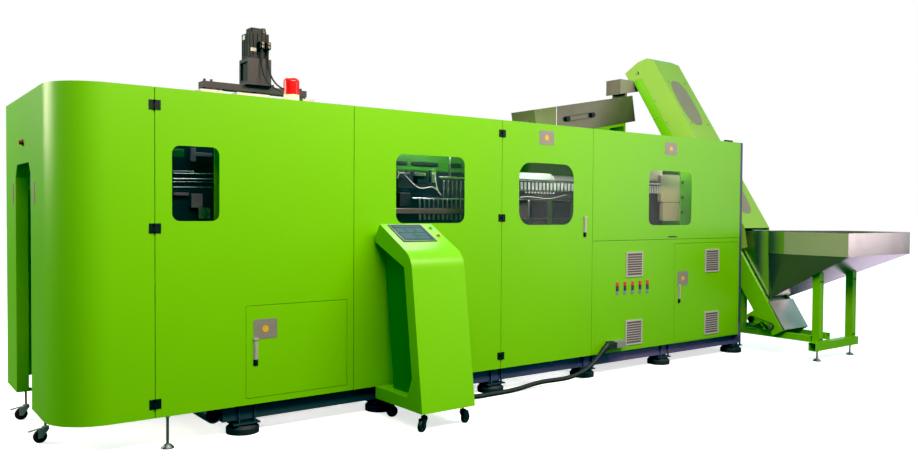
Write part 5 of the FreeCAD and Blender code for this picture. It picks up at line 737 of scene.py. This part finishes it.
slate_sheet = finish("display_slate", ("#27404A", 0.0, 0.5), cloud=(40, 0.05), grain=(3, 0.0), **MATT)
paler_fields = finish("display_fields", ("#375560", 0.0, 0.5), cloud=(60, 0.1), grain=(3, 0.0), **MATT)
piece("screen_glass", slate_sheet, [on_screen(*SCREEN, 4.0, 4.8, 0.2)])
piece("screen_fields", paler_fields, [on_screen(*field, 4.8, 5.2, 0.1) for field in FIELDS])

# ---------------------------------------------------------------- studio
# A white floor under a white sweep. A long warm lamp hangs close to the front and lights the panels' tops
# most; what comes from the room is weak and a little cool, so that the green deepens towards the floor and
# round the corner.
FLOOR_HALF, FLOOR_LIFT = 60, 0.68               # metres; what the floor gives off towards the lens
floor_coat = bpy.data.materials.new("studio_floor")
floor_coat.use_nodes = True
floor_coat.node_tree.nodes.clear()
pale = put(floor_coat.node_tree, "ShaderNodeBsdfDiffuse", {0: ink("#FFFFFF")}).outputs[0]
dim = put(floor_coat.node_tree, "ShaderNodeBsdfDiffuse", {0: ink("#45494A")}).outputs[0]
straight = put(floor_coat.node_tree, "ShaderNodeLightPath").outputs["Is Camera Ray"]
lift = put(floor_coat.node_tree, "ShaderNodeEmission", {0: ink("#FFFFFF"), 1: FLOOR_LIFT}).outputs[0]
pale = put(floor_coat.node_tree, "ShaderNodeAddShader", {0: pale, 1: lift}).outputs[0]
ground = put(floor_coat.node_tree, "ShaderNodeMixShader", {0: straight, 1: dim, 2: pale}).outputs[0]
put(floor_coat.node_tree, "ShaderNodeOutputMaterial", {0: ground})
floor_mesh = bpy.data.meshes.new("floor")
CORNERS = ((-1, -1), (1, -1), (1, 1), (-1, 1))
floor_mesh.from_pydata([(x * FLOOR_HALF, y * FLOOR_HALF, 0) for x, y in CORNERS], [], [(0, 1, 2, 3)])
floor_mesh.materials.append(floor_coat)
floor = bpy.data.objects.new("floor", floor_mesh)
bpy.context.scene.collection.objects.link(floor)

LEVEL_GLOW, TOP_GLOW = 0.16, 1.3                # the room's light, from level with the floor to overhead
sky = bpy.data.worlds.new("studio")
sky.use_nodes = True
bpy.context.scene.world = sky
sky.node_tree.nodes.clear()
direction = put(sky.node_tree, "ShaderNodeTexCoord").outputs["Generated"]
heights = put(sky.node_tree, "ShaderNodeSeparateXYZ", {0: direction}).outputs
glow = put(sky.node_tree, "ShaderNodeMapRange",
           {0: heights[2], 1: 0.0, 2: 1.0, 3: LEVEL_GLOW, 4: TOP_GLOW}).outputs[0]
lit = put(sky.node_tree, "ShaderNodeBackground", {"Color": ink("#A9E0D8"), "Strength": glow}).outputs[0]
plain = put(sky.node_tree, "ShaderNodeBackground", {"Color": ink("#FFFFFF"), "Strength": 1.0}).outputs[0]
seen = put(sky.node_tree, "ShaderNodeLightPath").outputs["Is Camera Ray"]
both = put(sky.node_tree, "ShaderNodeMixShader", {0: seen, 1: lit, 2: plain}).outputs[0]
put(sky.node_tree, "ShaderNodeOutputWorld", {0: both})


def softbox(name, place, aim, wide, high, watts, tint="#FFFFFF"):
    """A rectangular lamp at a place, turned to face its aim; both in drawing millimetres, its size in metres.
    The camera doesn't see it."""
    lamp = bpy.data.lights.new(name, "AREA")
    lamp.shape, lamp.size, lamp.size_y, lamp.energy = "RECTANGLE", wide, high, watts
    lamp.color = ink(tint)[:3]
    hung = bpy.data.objects.new(name, lamp)
    hung.location = at(*place)
    hung.rotation_euler = Vector(at(*aim) - at(*place)).to_track_quat("-Z", "Y").to_euler()
    hung.visible_camera = False
    bpy.context.scene.collection.objects.link(hung)


softbox("key", (2300, -3600, 4300), (2300, 0, 1900), 6.5, 1.2, 455, "#FFE4C6")
softbox("side", (-4600, 4600, 3600), (0, 900, 1400), 4.0, 3.0, 460, "#FFF0D8")
softbox("over_roof", (2600, 3600, 5600), (6300, 900, 2500), 2.5, 1.5, 170, "#FFF0DA")
softbox("hopper_low", (8400, -300, 30), (7200, -600, 800), 1.6, 1.6, 9, "#F2E2FF")
softbox("haze", (12500, -6500, 2600), (5500, 0, 1200), 5.0, 4.0, 190, "#FFF0F6")

# Small lamps under the roof, one to a bay, light what stands behind the windows.
BAY_LAMPS = (("blow_bay", 760, 180, 2.0), ("transfer_bay", 2600, 150, 8), ("oven_bay", 3700, 150, 5),
             ("feed_bay", 5400, 120, 4))
BAY_TOP, BAY_AIM, BAY_SET_BACK = 1975, 1300, 150
for name, x, y, watts in BAY_LAMPS:
    softbox(name, (x, y, BAY_TOP), (x, y + BAY_SET_BACK, BAY_AIM), 0.5, 0.12, watts)
